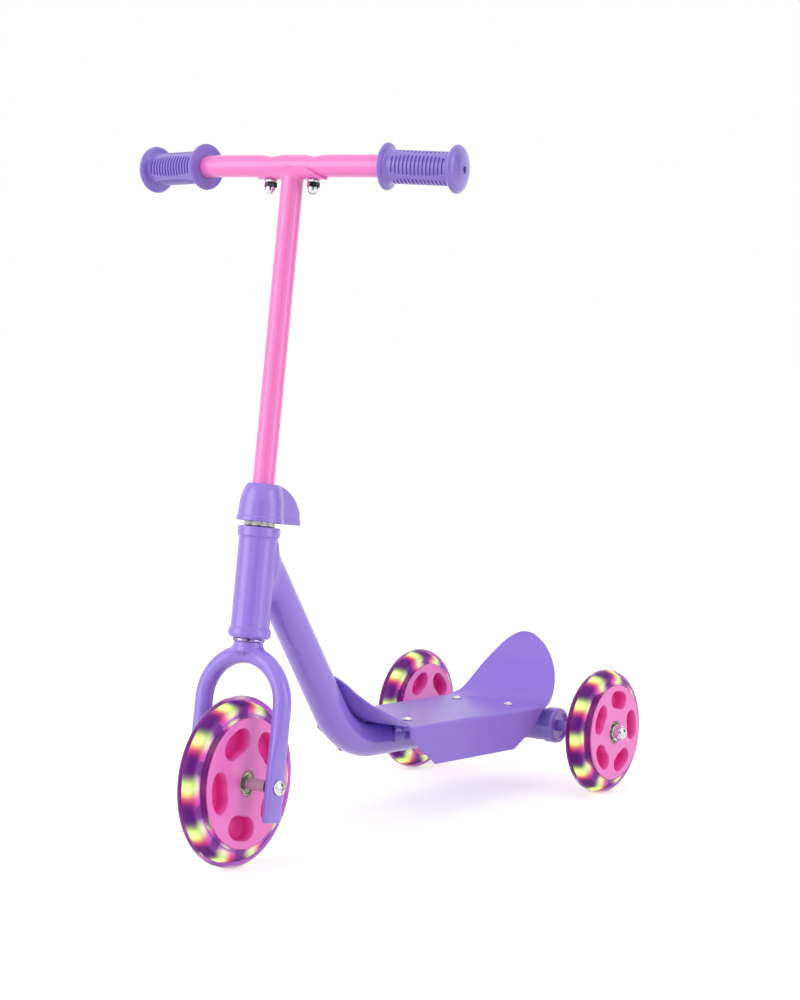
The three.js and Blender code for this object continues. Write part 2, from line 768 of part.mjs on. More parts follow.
// A domed hexagon nut whose thread is closed at its outer end
function capNut(from) {
  const hexLength = capNutLength / 2;
  const dome = flatRadius(capNutCornerRadius, hexSides) * capDomeShare;
  const hex = turnedX(disc(capNutCornerRadius, from, from + hexLength), hexSides);
  const curve = capDomeShares.map(([wide, along]) => [dome * wide, from + capNutLength * along]);
  const round = turnedX([
    [0, from + hexLength / 2], [dome, from + hexLength / 2], ...curve, [0, from + capNutLength],
  ], pinSides);
  const thread = turnedX(disc(axleRadius + clearance, from - overrun, from + capNutThread), pinSides);
  return cut(joined(hex, round), thread);
}

function frontLegOuter() {
  return legOffset + legTipHalfThickness + clearance;
}

function frontAxleBolt() {
  const seat = frontLegOuter();
  const end = -seat - capNutThread + clearance;
  const top = seat + axleHeadHeight;
  const bolt = turnedX([
    [0, end], [axleRadius, end], [axleRadius, seat], [axleHeadRadius, seat],
    ...axleHeadShares.map(([wide, high]) => [axleHeadRadius * wide, seat + axleHeadHeight * high]), [0, top],
  ], pinSides);
  const arm = axleHeadRadius * recessShare;
  const low = top - recessDepth;
  const upright = block([low, -recessWidth / 2, -arm], [top + overrun, recessWidth / 2, arm]);
  const level = block([low, -arm, -recessWidth / 2], [top + overrun, arm, recessWidth / 2]);
  return cut(bolt, upright, level);
}

function addFrontAxle(group) {
  const face = hubHalfWidth + clearance;
  const washerFrom = legOffset - legTipHalfThickness - clearance - washerThickness;
  place(group, 'front_axle_bolt', frontAxleBolt(), 'chrome');
  place(group, 'front_axle_nut', mirrored(capNut(frontLegOuter())), 'chrome');
  placePair(group, 'front_spacer', spacer(face, washerFrom - clearance), 'clearSpacer');
  placePair(group, 'front_washer', washer(washerFrom), 'darkRubber');
}

function rearAxleTube() {
  return turnedX(ring(frameTubeBore, frameTubeRadius, -axleTubeHalfLength, axleTubeHalfLength), tubeSides);
}

function axleBush() {
  const face = axleTubeHalfLength + clearance;
  const spigot = frameTubeBore - clearance;
  const end = face + bushFlangeLength;
  const bore = axleRadius + clearance;
  return turnedX([
    [bore, face - bushSpigotLength], [spigot, face - bushSpigotLength], [spigot, face],
    [bushFlangeRadius, face], [bushFlangeRadius, end - bushChamfer], [bushFlangeRadius - bushChamfer, end],
    [bore, end],
  ], tubeSides);
}

function addRearAxle(group) {
  const spacerFrom = axleTubeHalfLength + bushFlangeLength + 2 * clearance;
  const spacerTo = rearWheelOffset - hubHalfWidth - clearance;
  const washerFrom = rearWheelOffset + hubHalfWidth + clearance;
  const nutFrom = washerFrom + washerThickness + clearance;
  const rodEnd = nutFrom + capNutThread - clearance;
  const axle = new THREE.Group();
  axle.position.z = rearWheelRadius;
  place(axle, 'rear_axle_tube', rearAxleTube(), 'lilacPaint');
  placePair(axle, 'axle_bush', axleBush(), 'lilacGloss');
  place(axle, 'rear_axle_rod', turnedX(disc(axleRadius, -rodEnd, rodEnd), pinSides), 'steel');
  placePair(axle, 'rear_spacer', spacer(spacerFrom, spacerTo), 'lilacGloss');
  placePair(axle, 'rear_washer', washer(washerFrom), 'chrome');
  placePair(axle, 'rear_nut', capNut(nutFrom), 'chrome');
  group.add(axle);
}

// The down tube comes down from the head, bends, and runs back just under the sheet

// The path's ends can be drawn out, for the bore
function downTubePath(drawnOut) {
  const drop = (frameTubeRadius + clearance + deckThickness) / Math.cos(deckPitch);
  const fall = Math.tan(downTubeAngle);
  const slope = Math.tan(deckPitch);
  const topY = -wheelBase + downTubeMeets * Math.sin(steeringLean) - drawnOut;
  const topZ = frontWheelRadius + downTubeMeets * Math.cos(steeringLean) + drawnOut * fall;
  const endZ = deckTop(0) - drop;
  const cornerY = (endZ - topZ - fall * topY) / (slope - fall);
  const corners = [[topY, topZ], [cornerY, endZ - cornerY * slope], [drawnOut, endZ - drawnOut * slope]]
    .map(([y, z]) => new THREE.Vector3(0, y, z));
  return new BentPath(corners, [downTubeBendRadius], bendSteps);
}

function downTube() {
  const outer = bentBar(downTubePath(0), frameTubeRadius, tubeSides);
  const bore = bentBar(downTubePath(overrun), frameTubeBore, tubeSides);
  const head = leaned(turnedZ(disc(headRadius + clearance, headBottom, headTop), tubeSides));
  const axle = turnedX(disc(frameTubeRadius + clearance, -axleTubeHalfLength, axleTubeHalfLength), tubeSides)
    .translate(0, 0, rearWheelRadius);
  return cut(outer, bore, head, axle);
}

// Footboard: one sheet bent up at both ends and folded down along both sides

// The same line moved sideways by a distance, to its right as it runs
function offsetLine(points, distance) {
  return points.map((point, i) => {
    const before = points[Math.max(i - 1, 0)];
    const after = points[Math.min(i + 1, points.length - 1)];
    const run = new THREE.Vector2(after[0] - before[0], after[1] - before[1]).normalize();
    return [point[0] + run.y * distance, point[1] - run.x * distance];
  });
}

// The sheet's top line in the side view: up the tube's bend, along the board, up the fender
function sheetTop() {
  const [straight, bend] = downTubePath(0).runs;
  const upward = straight.at(0).sub(straight.at(1)).normalize();
  const tubeLine = [straight.at(1).addScaledVector(upward, tongueStraight)];
  for (let i = 0; i <= bendSteps; i += 1) tubeLine.push(bend.at(i / bendSteps));
  const above = frameTubeRadius + clearance + deckThickness;
  const tongueLine = offsetLine(tubeLine.map(({ y, z }) => [y, z]), -above);
  const fenderPoints = fenderCurveShares.map(([reach, rise]) => new THREE.Vector2(
    reach * fenderReach - fenderStart, deckTop(fenderStart) + rise * fenderHeight));
  const fenderLine = new THREE.SplineCurve(fenderPoints).getPoints(fenderSteps).map(({ x, y }) => [x, y]);
  return [...tongueLine, ...fenderLine];
}

// The flanges reach a little way into the down tube's bend
function skirtFront() {
  return skirtFrontRun - downTubePath(0).runs[1].at(1).y;
}

function skirtOutline() {
  const front = skirtFront();
  const heel = skirtRear + skirtRearRun;
  const heelFront = heel + skirtHeelLength;
  return [
    [-skirtRear, overrun], [-front, overrun], [-front, -skirtNoseDepth],
    [-front + skirtNoseRun, -skirtDepth], [-heelFront - skirtHeelRun, -skirtDepth],
    [-heelFront, -skirtHeelDepth], [-heel, -skirtHeelDepth], [-skirtRear, -deckThickness / 2],
  ];
}

// A side flange, kept below the middle of the sheet
function skirt() {
  const flange = pitched(sidePlate(skirtOutline(), deckHalfWidth - deckThickness, deckHalfWidth));
  const line = offsetLine(sheetTop(), deckThickness / 2);
  const [[front], [rear]] = [line[0], line[line.length - 1]];
  const below = sidePlate([[front, 0], [rear, 0], ...line.reverse()],
    deckHalfWidth - 2 * deckThickness, deckHalfWidth + overrun);
  return common(flange, below);
}

// What trims a bent-up end, in the front view: all that lies outside its rounded outline
function endTrim(shares, foot, height, from, to) {
  const side = shares.map(([rise, share]) => [share * deckHalfWidth, foot + rise * height]);
  const otherSide = side.slice(0, -1).map(([across, up]) => [-across, up]).reverse();
  const wide = deckHalfWidth + overrun;
  const low = side[0][1];
  const high = foot + 2 * height;
  const frame = [[-wide, low], [-wide, high], [wide, high]];
  return frontPlate([[wide, low], ...side, ...otherSide, ...frame], from, to);
}

// Takes the sharp edge off the fold between the board and a flange, along the flat of the board
function foldTrim() {
  const centre = [deckHalfWidth - deckCornerRadius, -deckCornerRadius];
  const [, steep, shallow] = arcPoints(centre, deckCornerRadius, deckCornerRadius, 0, Math.PI / 2,
    foldSteps);
  const wide = deckHalfWidth + overrun;
  const slope = Math.tan(Math.PI / (4 * foldSteps));
  const low = steep[1] - (wide - steep[0]) / slope;
  const outline = [
    [wide, low], steep, shallow, [shallow[0] - overrun / slope, shallow[1] + overrun],
    [wide, shallow[1] + overrun],
  ];
  return pitched(frontPlate(outline, downTubePath(0).runs[1].at(1).y, -fenderStart));
}

function deckBoltPlaces() {
  return [
    ['front_left', frontBoltOffset, frontBoltBack], ['front_right', -frontBoltOffset, frontBoltBack],
    ['rear_left', rearBoltOffset, rearBoltBack], ['rear_right', -rearBoltOffset, rearBoltBack],
  ];
}

function deckBoltHole(across, back) {
  const hole = turnedZ(disc(deckBoltRadius + clearance, -skirtDepth, overrun), pinSides);
  return hole.translate(across, -back, 0);
}

function deckPlate() {
  const top = sheetTop();
  const under = offsetLine(top, deckThickness).reverse();
  const sheet = sidePlate([...top, ...under], -deckHalfWidth, deckHalfWidth);
  const body = joined(sheet, skirt(), mirrored(skirt()));
  const front = skirtFront();
  const tongueTrim = endTrim(tongueOutlineShares, deckTop(front), tongueHeight,
    -wheelBase, -front + overrun);
  const fenderTrim = endTrim(fenderOutlineShares, deckTop(fenderStart), fenderHeight,
    -fenderStart - overrun, fenderReach + overrun);
  const holes = deckBoltPlaces().map(([, across, back]) => pitched(deckBoltHole(across, back)));
  return cut(body, tongueTrim, fenderTrim, foldTrim(), mirrored(foldTrim()), ...holes);
}

function deckBolt() {
  const seat = clearance;
  const head = deckBoltHeadShares.map(([wide, high]) => (
    [deckBoltHeadRadius * wide, seat + deckBoltHeadHeight * high]));
  const end = -deckThickness - clearance - bracketThickness - weldNutHeight;
  const profile = [
    [0, end], [deckBoltRadius, end], [deckBoltRadius, seat], [deckBoltHeadRadius, seat], ...head,
    [0, seat + deckBoltHeadHeight],
  ];
  return turnedZ(profile, pinSides);
}

// A saddle under the down tube with a shelf to each side and a weld nut under each shelf
function deckBracket(boltOffset, back) {
  const top = -deckThickness - clearance;
  const shelf = top - bracketThickness;
  const centre = [0, -frameTubeRadius - clearance - deckThickness];
  const inner = frameTubeRadius + clearance;
  const outer = inner + bracketThickness;
  const section = [
    [bracketHalfLength, shelf], [bracketHalfLength, top], [inner, top],
    ...arcPoints(centre, inner, inner, 0, -Math.PI, pinSides),
    [-inner, top], [-bracketHalfLength, top], [-bracketHalfLength, shelf], [-outer, shelf],
    ...arcPoints(centre, outer, outer, -Math.PI, 0, tubeSides / 2), [outer, shelf],
  ];
  const saddle = frontPlate(section, -back - bracketDepth / 2, -back + bracketDepth / 2);
  const nut = turnedZ(disc(weldNutRadius, shelf - weldNutHeight, shelf + bracketThickness / 2), hexSides)
    .translate(boltOffset, -back, 0);
  const holes = [boltOffset, -boltOffset].map((across) => deckBoltHole(across, back));
  return cut(joined(saddle, nut, mirrored(nut)), ...holes);
}

function addFootboard(group) {
  place(group, 'deck_plate', deckPlate(), 'lilacPaint');
  const board = new THREE.Group();
  board.position.z = deckHeightAtAxle;
  board.rotation.x = -deckPitch;
  place(board, 'deck_bracket_front', deckBracket(frontBoltOffset, frontBoltBack), 'lilacPaint');
  place(board, 'deck_bracket_rear', deckBracket(rearBoltOffset, rearBoltBack), 'lilacPaint');
  for (const [name, across, back] of deckBoltPlaces()) {
    place(board, `deck_bolt_${name}`, deckBolt(), 'chrome').position.set(across, -back, 0);
  }
  group.add(board);
}

// All that lies along the leaned steering axis
function addColumn(group) {
  const column = new THREE.Group();
  column.position.set(0, -wheelBase, frontWheelRadius);
  column.rotation.x = -steeringLean;
  const upperBearing = steererRing(headBearingRadius, headTop - headBearingHeight, headBearingHeight);
  const raceHeight = headBottom - socketTop - 2 * clearance;
  place(column, 'head_tube', headTube(), 'lilacPaint');
  place(column, 'lower_head_bearing', steererRing(headBearingRadius, headBottom, headBearingHeight), 'steel');
  place(column, 'upper_head_bearing', upperBearing, 'steel');
  place(column, 'fork', fork(), 'lilacPaint');
  place(column, 'crown_race', steererRing(crownRaceRadius, socketTop + clearance, raceHeight), 'chrome');
  place(column, 'lock_nut', lockNut(), 'chrome');
  place(column, 'stem_clamp', stemClamp(), 'steel');
  place(column, 'clamp_bolt', clampBolt(), 'steel');
  place(column, 'head_cover', headCover(), 'lilacGloss');
  place(column, 'stem', stem(), 'pinkPaint');
  place(column, 'handlebar', handlebar(), 'pinkPaint');
  placePair(column, 'bar_bolt', barBolt(), 'chrome');
  placePair(column, 'bar_nut', barNut(), 'chrome');
  addGrips(column);
  addFrontAxle(column);
  group.add(column);
}

const frontWheel = [frontWheelRadius, frontHubRadius, frontTread, frontPocketTurn];
const rearWheel = [rearWheelRadius, rearHubRadius, rearTread, rearPocketTurn];
const scooter = new THREE.Group();
scooter.position.y = (wheelBase + frontWheelRadius - rearWheelRadius) / 2;
addColumn(scooter);
place(scooter, 'down_tube', downTube(), 'lilacPaint');
addFootboard(scooter);
addRearAxle(scooter);
addWheel(scooter, 'front_wheel', frontWheel, [0, -wheelBase]);
addWheel(scooter, 'rear_left_wheel', rearWheel, [rearWheelOffset, 0]);
addWheel(scooter, 'rear_right_wheel', rearWheel, [-rearWheelOffset, 0]);

export default scooter;
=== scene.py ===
import json
import math
import bpy
import numpy as np
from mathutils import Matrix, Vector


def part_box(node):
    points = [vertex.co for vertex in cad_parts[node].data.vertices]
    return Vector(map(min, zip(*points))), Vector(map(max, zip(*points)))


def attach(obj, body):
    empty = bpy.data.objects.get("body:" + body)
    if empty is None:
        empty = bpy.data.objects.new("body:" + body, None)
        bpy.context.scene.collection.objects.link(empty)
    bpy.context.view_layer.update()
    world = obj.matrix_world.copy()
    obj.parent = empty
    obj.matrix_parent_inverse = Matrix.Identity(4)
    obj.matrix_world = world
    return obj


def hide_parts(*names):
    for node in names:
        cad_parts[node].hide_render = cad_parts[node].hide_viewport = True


# A child's three-wheel scooter. Lengths here are in millimetres, as in the part's source, and
# makePiece turns them into metres. +X is the rider's left and the scooter faces -Y.
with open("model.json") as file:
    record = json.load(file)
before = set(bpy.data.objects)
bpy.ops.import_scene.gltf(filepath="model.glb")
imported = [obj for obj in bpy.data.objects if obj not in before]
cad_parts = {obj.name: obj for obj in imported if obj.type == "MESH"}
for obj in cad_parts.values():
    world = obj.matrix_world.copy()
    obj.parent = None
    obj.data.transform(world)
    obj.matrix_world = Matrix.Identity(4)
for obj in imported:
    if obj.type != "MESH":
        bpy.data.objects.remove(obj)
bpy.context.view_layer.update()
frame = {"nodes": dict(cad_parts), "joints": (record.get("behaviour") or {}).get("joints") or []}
nodes = frame["nodes"]
joints = {joint["name"]: joint for joint in frame["joints"]}
print("frame loaded:", len(nodes), "nodes")


# Where things are

def boxOf(node):
    low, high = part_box(node)
    return np.array(low) * 1000, np.array(high) * 1000


def middleOf(node):
    return sum(boxOf(node)) / 2


# How near and how far from the middle plane a node reaches
def acrossOf(node):
    low, high = boxOf(node)
    return sorted((abs(low[0]), abs(high[0])))


steerPoint = np.array(joints["steering_turn"]["pos_m"]) * 1000
steerAxis = np.array(joints["steering_turn"]["axis"])
lean = math.atan2(steerAxis[1], steerAxis[2])
rearAxle = middleOf("rear_axle_rod")
wheelBase = float(rearAxle[1] - steerPoint[1])
deckPitch = math.radians(3.67)
deckHeightAtAxle = 81.9
handed = ((1, "left"), (-1, "right"))


# Turned about x, the top going backwards
def tipped(points, angle):
    x, y, z = np.moveaxis(np.asarray(points, float), -1, 0)
    c, s = math.cos(angle), math.sin(angle)
    return np.stack([x, y * c + z * s, z * c - y * s], -1)


# From the steering column's own frame: x across, y backwards, z up the axis from the front axle
def leaned(points):
    return tipped(points, lean) + steerPoint


def unleaned(points):
    return tipped(points - steerPoint, -lean)


# From the footboard's own frame: its flat top is z = 0 and the rear axle is at y = 0
def pitched(points):
    return tipped(points, deckPitch) + [0, rearAxle[1], deckHeightAtAxle]


# From a side view whose heights are true and whose rear axle is at y = 0
def sideView(points):
    return points + [0, rearAxle[1], 0]


# Curves and tables

# Cuts the corners of a polyline with arcs: each arc runs evenly round its own centre
def rounded(points, radius, steps=4, closed=True):
    points = np.array(points, float)
    radii = np.broadcast_to(radius, (len(points),))
    runs = []
    for i, corner in enumerate(points):
        before, after = points[i - 1] - corner, points[(i + 1) % len(points)] - corner
        lengths = np.linalg.norm(before), np.linalg.norm(after)
        before, after = before / lengths[0], after / lengths[1]
        angle = math.acos(np.clip(before @ after, -1, 1))
        if radii[i] <= 0 or angle > math.pi - 0.01 or (not closed and i in (0, len(points) - 1)):
            runs.append(corner[None])
            continue
        cut = min(radii[i] / math.tan(angle / 2), 0.49 * lengths[0], 0.49 * lengths[1])
        reach = cut / math.cos(angle / 2)
        centre = corner + (before + after) / np.linalg.norm(before + after) * reach
        start, end = corner + before * cut - centre, corner + after * cut - centre
        sweep, t = math.pi - angle, np.linspace(0, 1, steps + 1)[:, None]
        runs.append(centre + (np.sin((1 - t) * sweep) * start + np.sin(t * sweep) * end) / math.sin(sweep))
    return np.vstack(runs)


# Adds points along the long runs of a polyline, so that no step is longer than the one given
def refined(points, step):
    points = np.asarray(points, float)
    lengths = np.linalg.norm(np.diff(points, axis=0), axis=1)
    runs = [a + (b - a) * np.linspace(0, 1, max(int(math.ceil(length / step)), 1), endpoint=False)[:, None]
            for a, b, length in zip(points[:-1], points[1:], lengths)]
    return np.vstack(runs + [points[-1:]])


def unit(vectors):
    return vectors / np.linalg.norm(vectors, axis=-1, keepdims=True)


def distancesAlong(line):
    return np.concatenate([[0], np.cumsum(np.linalg.norm(np.diff(line, axis=0), axis=1))])


def ringAngles(count):
    return np.linspace(0, 2 * math.pi, count, endpoint=False)


# A smooth line through a table that never overshoots: cubic pieces, slopes by harmonic mean
def smoothTable(x, xs, ys):
    xs, ys = np.array(xs, float), np.array(ys, float)
    slopes = np.diff(ys) / np.diff(xs)
    inner = np.where(slopes[:-1] * slopes[1:] > 0,
                     2 * slopes[:-1] * slopes[1:] / (slopes[:-1] + slopes[1:] + 1e-12), 0)
    tangents = np.concatenate([slopes[:1], inner, slopes[-1:]])
    x = np.clip(x, xs[0], xs[-1])
    i = np.clip(np.searchsorted(xs, x, side="right") - 1, 0, len(xs) - 2)
    width = xs[i + 1] - xs[i]
    t = (x - xs[i]) / width
    return ((1 + 2 * t) * (1 - t) ** 2 * ys[i] + t * (1 - t) ** 2 * width * tangents[i]
            + t * t * (3 - 2 * t) * ys[i + 1] + t * t * (t - 1) * width * tangents[i + 1])


def eased(x, low, high):
    t = np.clip((x - low) / (high - low), 0, 1)
    return t * t * (3 - 2 * t)


# The larger of two values with the join between them rounded off over the given width
def smoothMax(a, b, width):
    h = np.clip(0.5 + 0.5 * (a - b) / width, 0, 1)
    return b + (a - b) * h + width * h * (1 - h)


def smoothMin(a, b, width):
    return -smoothMax(-a, -b, width)


# Meshes

# Joins a grid of points (rows, columns, 3) into a shell, with a fan over a closed first or last row
def shell(points, wrapRows=False, capFirst=False, capLast=False):
    rows, columns = points.shape[:2]
    index = np.arange(rows * columns).reshape(rows, columns)
    low, high = (index, np.roll(index, -1, 0)) if wrapRows else (index[:-1], index[1:])
    quads = np.stack([low, np.roll(low, -1, 1), np.roll(high, -1, 1), high], -1).reshape(-1, 4)
    vertices = points.reshape(-1, 3)
    fans = [np.zeros((0, 3), int)]
    for wanted, row, turn in ((capFirst, index[0], 1), (capLast, index[-1], -1)):
        if wanted:
            middle = np.full(columns, len(vertices))
            vertices = np.vstack([vertices, vertices[row].mean(0)])
            fans.append(np.stack([middle, np.roll(row, -1), row], -1)[:, ::turn])
    return vertices, quads, np.vstack(fans)


# A profile of (radius, along) pairs turned about x; a profile that meets the axis is capped there
def turnedX(profile, sides=72, flip=False):
    profile = np.asarray(profile, float)
    onAxis = profile[0, 0] < 1e-6
    ring = profile[1:-1] if onAxis else profile
    angle = ringAngles(sides)
    along = np.broadcast_to(ring[:, 1:] * (-1 if flip else 1), (len(ring), sides))
    points = np.stack([along, ring[:, :1] * np.cos(angle), ring[:, :1] * np.sin(angle)], -1)
    return shell(points, wrapRows=not onAxis, capFirst=onAxis, capLast=onAxis)


def turnedZ(profile, sides=72):
    return moved(turnedX(profile, sides), lambda points: points[:, [1, 2, 0]])


# A grid of radii and heights round z
def gridZ(radius, angle, height):
    return np.stack(np.broadcast_arrays(radius * np.cos(angle), radius * np.sin(angle), height), -1)


def moved(part, change):
    return change(part[0]), part[1], part[2]


def mirroredX(part):
    return moved(part, lambda points: points * [-1, 1, 1])


# Carries a section of (sideways, upwards) offsets along a path; upwards is square to the path
def swept(path, section, across):
    path = np.asarray(path, float)
    steps = unit(np.diff(path, axis=0))
    tangent = unit(np.vstack([steps[:1], steps[:-1] + steps[1:], steps[-1:]]))
    side = np.broadcast_to(np.array(across, float), tangent.shape)
    side = unit(side - (side * tangent).sum(1)[:, None] * tangent)
    up = np.cross(side, tangent)
    return path[:, None] + section[..., :1] * side[:, None] + section[..., 1:] * up[:, None]


def circle(radius, sides):
    angle = ringAngles(sides)
    return np.stack([np.cos(angle), np.sin(angle)], -1) * radius


# Moves the points near a joint onto the surface where a distance is zero, along the distance's
# own slope and no further than the limit; points deep inside the other body stay where they are
def settled(part, distance, limit, free=1.0):
    start = part[0]
    points, near = start.copy(), (1 - eased(-distance(start), limit, 1.6 * limit)) * free
    for _ in range(3):
        slope = np.stack([distance(points + 0.05 * axis) - distance(points - 0.05 * axis)
                          for axis in np.eye(3)], -1)
        slope /= np.linalg.norm(slope, axis=1)[:, None] + 1e-9
        points = points - distance(points)[:, None] * slope
    shift = points - start
    length = np.linalg.norm(shift, axis=1) + 1e-9
    shift *= (near * np.minimum(1, limit / length))[:, None]
    return moved(part, lambda points: points + shift)


# Six times the volume inside a shell, negative where its faces point inwards
def signedVolume(part):
    vertices, quads, fans = part
    triangles = np.vstack([quads[:, [0, 1, 2]], quads[:, [0, 2, 3]], fans])
    a, b, c = (vertices[triangles[:, k]] for k in range(3))
    return (a * np.cross(b, c)).sum()


# Puts shells, moved to their place, into one object on a body, with its faces outwards, and lets it
# stand for its CAD node
def makePiece(name, node, body, material, slot, place, *shells, sharp=32, bevel=0):
    vertices, faces, start = [], [], 0
    for part in shells:
        part = moved(part, place)
        turn = -1 if signedVolume(part) < 0 else 1
        vertices.append(part[0])
        faces += (part[1][:, ::turn] + start).tolist() + (part[2][:, ::turn] + start).tolist()
        start += len(part[0])
    mesh = bpy.data.meshes.new(name)
    mesh.from_pydata((np.vstack(vertices) / 1000).tolist(), [], faces)
    mesh.polygons.foreach_set("use_smooth", np.ones(len(mesh.polygons), bool))
    mesh.set_sharp_from_angle(angle=math.radians(sharp))
    mesh.update()
    piece = bpy.data.objects.new(name, mesh)
    bpy.context.scene.collection.objects.link(piece)
    mesh.materials.append(material)
    if bevel:
        edge = piece.modifiers.new("edge", "BEVEL")
        edge.width = bevel / 1000
        edge.segments = 2
        edge.limit_method = "ANGLE"
        edge.angle_limit = math.radians(40)
        edge.harden_normals = True
    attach(piece, body)
    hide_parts(node)


# Materials. A shared effect is a node group; each material has its own Principled BSDF

# A node group from its inputs with their values, each a number, a place or a colour, and from its
# outputs with their kinds
def newGroup(name, inputs, outputs):
    group = bpy.data.node_groups.new(name, "ShaderNodeTree")
    for label, value in inputs.items():
        kind = {1: "Float", 3: "Vector", 4: "Color"}[np.size(value)]
        socket = group.interface.new_socket(label, in_out="INPUT", socket_type="NodeSocket" + kind)
        socket.default_value = value
    for label, kind in outputs.items():
        group.interface.new_socket(label, in_out="OUTPUT", socket_type="NodeSocket" + kind)
    return group, group.nodes.new("NodeGroupInput").outputs, group.nodes.new("NodeGroupOutput").inputs


def addNode(tree, kind, links={}, **values):
    node = tree.nodes.new(kind)
    for key, value in values.items():
        setattr(node, key, value)
    for socket, source in links.items():
        if isinstance(source, bpy.types.NodeSocket):
            tree.links.new(source, node.inputs[socket])
        else:
            node.inputs[socket].default_value = source
    return node


def mixColours(tree, factor, a, b):
    return addNode(tree, "ShaderNodeMix", {0: factor, 6: a, 7: b}, data_type="RGBA").outputs[2]


def maths(tree, operation, a, b=0.0):
    return addNode(tree, "ShaderNodeMath", {0: a, 1: b}, operation=operation).outputs[0]


def noise(tree, scale, detail):
    place = addNode(tree, "ShaderNodeTexCoord").outputs["Object"]
    return addNode(tree, "ShaderNodeTexNoise", {"Vector": place, "Scale": scale, "Detail": detail}).outputs["Fac"]


def ranged(tree, value, start=0.0, end=1.0, low=0.0, high=1.0, kind="LINEAR"):
    links = {"Value": value, "From Min": start, "From Max": end, "To Min": low, "To Max": high}
    return addNode(tree, "ShaderNodeMapRange", links, interpolation_type=kind).outputs[0]


# Fine waves of sprayed paint with slow drifts of shade: colour, roughness and height
def buildPaintSkin():
    group, given, out = newGroup(
        "paintSkin",
        {"Colour": (1, 1, 1, 1), "Shade": (0, 0, 0, 1), "Drift": 0.3, "Wave Scale": 900.0, "Speck": 0.1},
        {"Colour": "Color", "Roughness": "Float", "Height": "Float"})
    broad = noise(group, 14.0, 3.0)
    tint = mixColours(group, maths(group, "MULTIPLY", broad, given["Drift"]), given["Colour"], given["Shade"])
    fleck = ranged(group, noise(group, 2600.0, 2.0), 0.62, 0.75)
    flecked = mixColours(group, maths(group, "MULTIPLY", fleck, given["Speck"]), tint, given["Shade"])
    group.links.new(flecked, out["Colour"])
    group.links.new(noise(group, given["Wave Scale"], 2.0), out["Height"])
    group.links.new(ranged(group, broad, low=0.22, high=0.36), out["Roughness"])
    return group


# The stains and the fine grain of plated metal: a mask and a height
def buildMetalSkin():
    group, given, out = newGroup("metalSkin", {"Scale": 1500.0}, {"Mask": "Float", "Height": "Float"})
    group.links.new(ranged(group, noise(group, 260.0, 4.0), 0.42, 0.66), out["Mask"])
    group.links.new(noise(group, given["Scale"], 3.0), out["Height"])
    return group


lampColours = ((0.2, (0.12, 0.5, 0.004, 1)), (0.34, (0.26, 0.9, 0.03, 1)), (0.47, (0.28, 0.9, 0.075, 1)),
               (0.57, (0.28, 0.5, 0.016, 1)), (0.66, (0.27, 0.12, 0.008, 1)), (0.77, (0.25, 0.008, 0.007, 1)))


# The light of evenly spaced lamps round a wheel: colour by the angle within each lamp's share of
# the rim, strength by a bell curve over an oval; and a mask that is 0 on the strip by the hub, where a
# faint glow is painted, rising towards the rim, between the lamps and on the lamps themselves
def buildLampGlow():
    group, given, out = newGroup(
        "lampGlow",
        {"Centre": (0, 0, 0), "Lamps": 10.0, "Turn": 0.0, "Half Length": 0.74, "Half Width": 0.005,
         "Radius": 0.06, "Half Height": 0.0048},
        {"Colour": "Color", "Strength": "Float", "Box": "Float"})
    place = addNode(group, "ShaderNodeTexCoord").outputs["Object"]
    fromHub = addNode(group, "ShaderNodeVectorMath", {0: place, 1: given["Centre"]}, operation="SUBTRACT")
    xyz = addNode(group, "ShaderNodeSeparateXYZ", {0: fromHub.outputs[0]}).outputs
    do = lambda operation, a, b=0.0: maths(group, operation, a, b)
    angle = do("ADD", do("ARCTAN2", xyz["Z"], xyz["Y"]), given["Turn"])
    share = do("FRACT", do("MULTIPLY", do("DIVIDE", angle, 2 * math.pi), given["Lamps"]))
    offset = do("MULTIPLY", do("SUBTRACT", share, 0.5), 2.0)      # -1 to 1 within one share
    ramp = addNode(group, "ShaderNodeValToRGB", {"Fac": share})
    stops = ramp.color_ramp.elements
    stops[0].position, stops[0].color = 0.1, (0.03, 0.2, 0.002, 1)
    stops[1].position, stops[1].color = 0.9, (0.05, 0.0, 0.005, 1)
    for position, colour in lampColours:
        stops.new(position).color = colour
    group.links.new(ramp.outputs["Color"], out["Colour"])
    radius = do("SQRT", do("ADD", do("POWER", xyz["Y"], 2.0), do("POWER", xyz["Z"], 2.0)))
    along = do("DIVIDE", offset, given["Half Length"])
    across = do("DIVIDE", do("SUBTRACT", radius, given["Radius"]), given["Half Height"])
    oval = do("POWER", do("ADD", do("MULTIPLY", along, along), do("MULTIPLY", across, across)), 2.5)
    width = do("POWER", do("DIVIDE", xyz["X"], given["Half Width"]), 4.0)
    bell = do("EXPONENT", do("MULTIPLY", do("ADD", oval, width), -1.0))
    group.links.new(bell, out["Strength"])
    gap = ranged(group, do("ABSOLUTE", offset), 0.55, 0.75, kind="SMOOTHSTEP")
    outwards = ranged(group, across, -1.2, 0.9, kind="SMOOTHSTEP")
    group.links.new(do("MAXIMUM", do("MAXIMUM", do("MULTIPLY", gap, 0.75), outwards), bell), out["Box"])
    return group


paintSkin = buildPaintSkin()
metalSkin = buildMetalSkin()
lampGlow = buildLampGlow()


def newMaterial(name, **values):
    material = bpy.data.materials.new(name)
    material.use_nodes = True
    tree = material.node_tree
    shader = tree.nodes["Principled BSDF"]
    for label, value in values.items():
        shader.inputs[label.replace("_", " ")].default_value = value
    return material, tree, shader


def addBump(tree, shader, height, strength, distance):
    bump = addNode(tree, "ShaderNodeBump", {"Height": height, "Strength": strength, "Distance": distance})
    tree.links.new(bump.outputs[0], shader.inputs["Normal"])


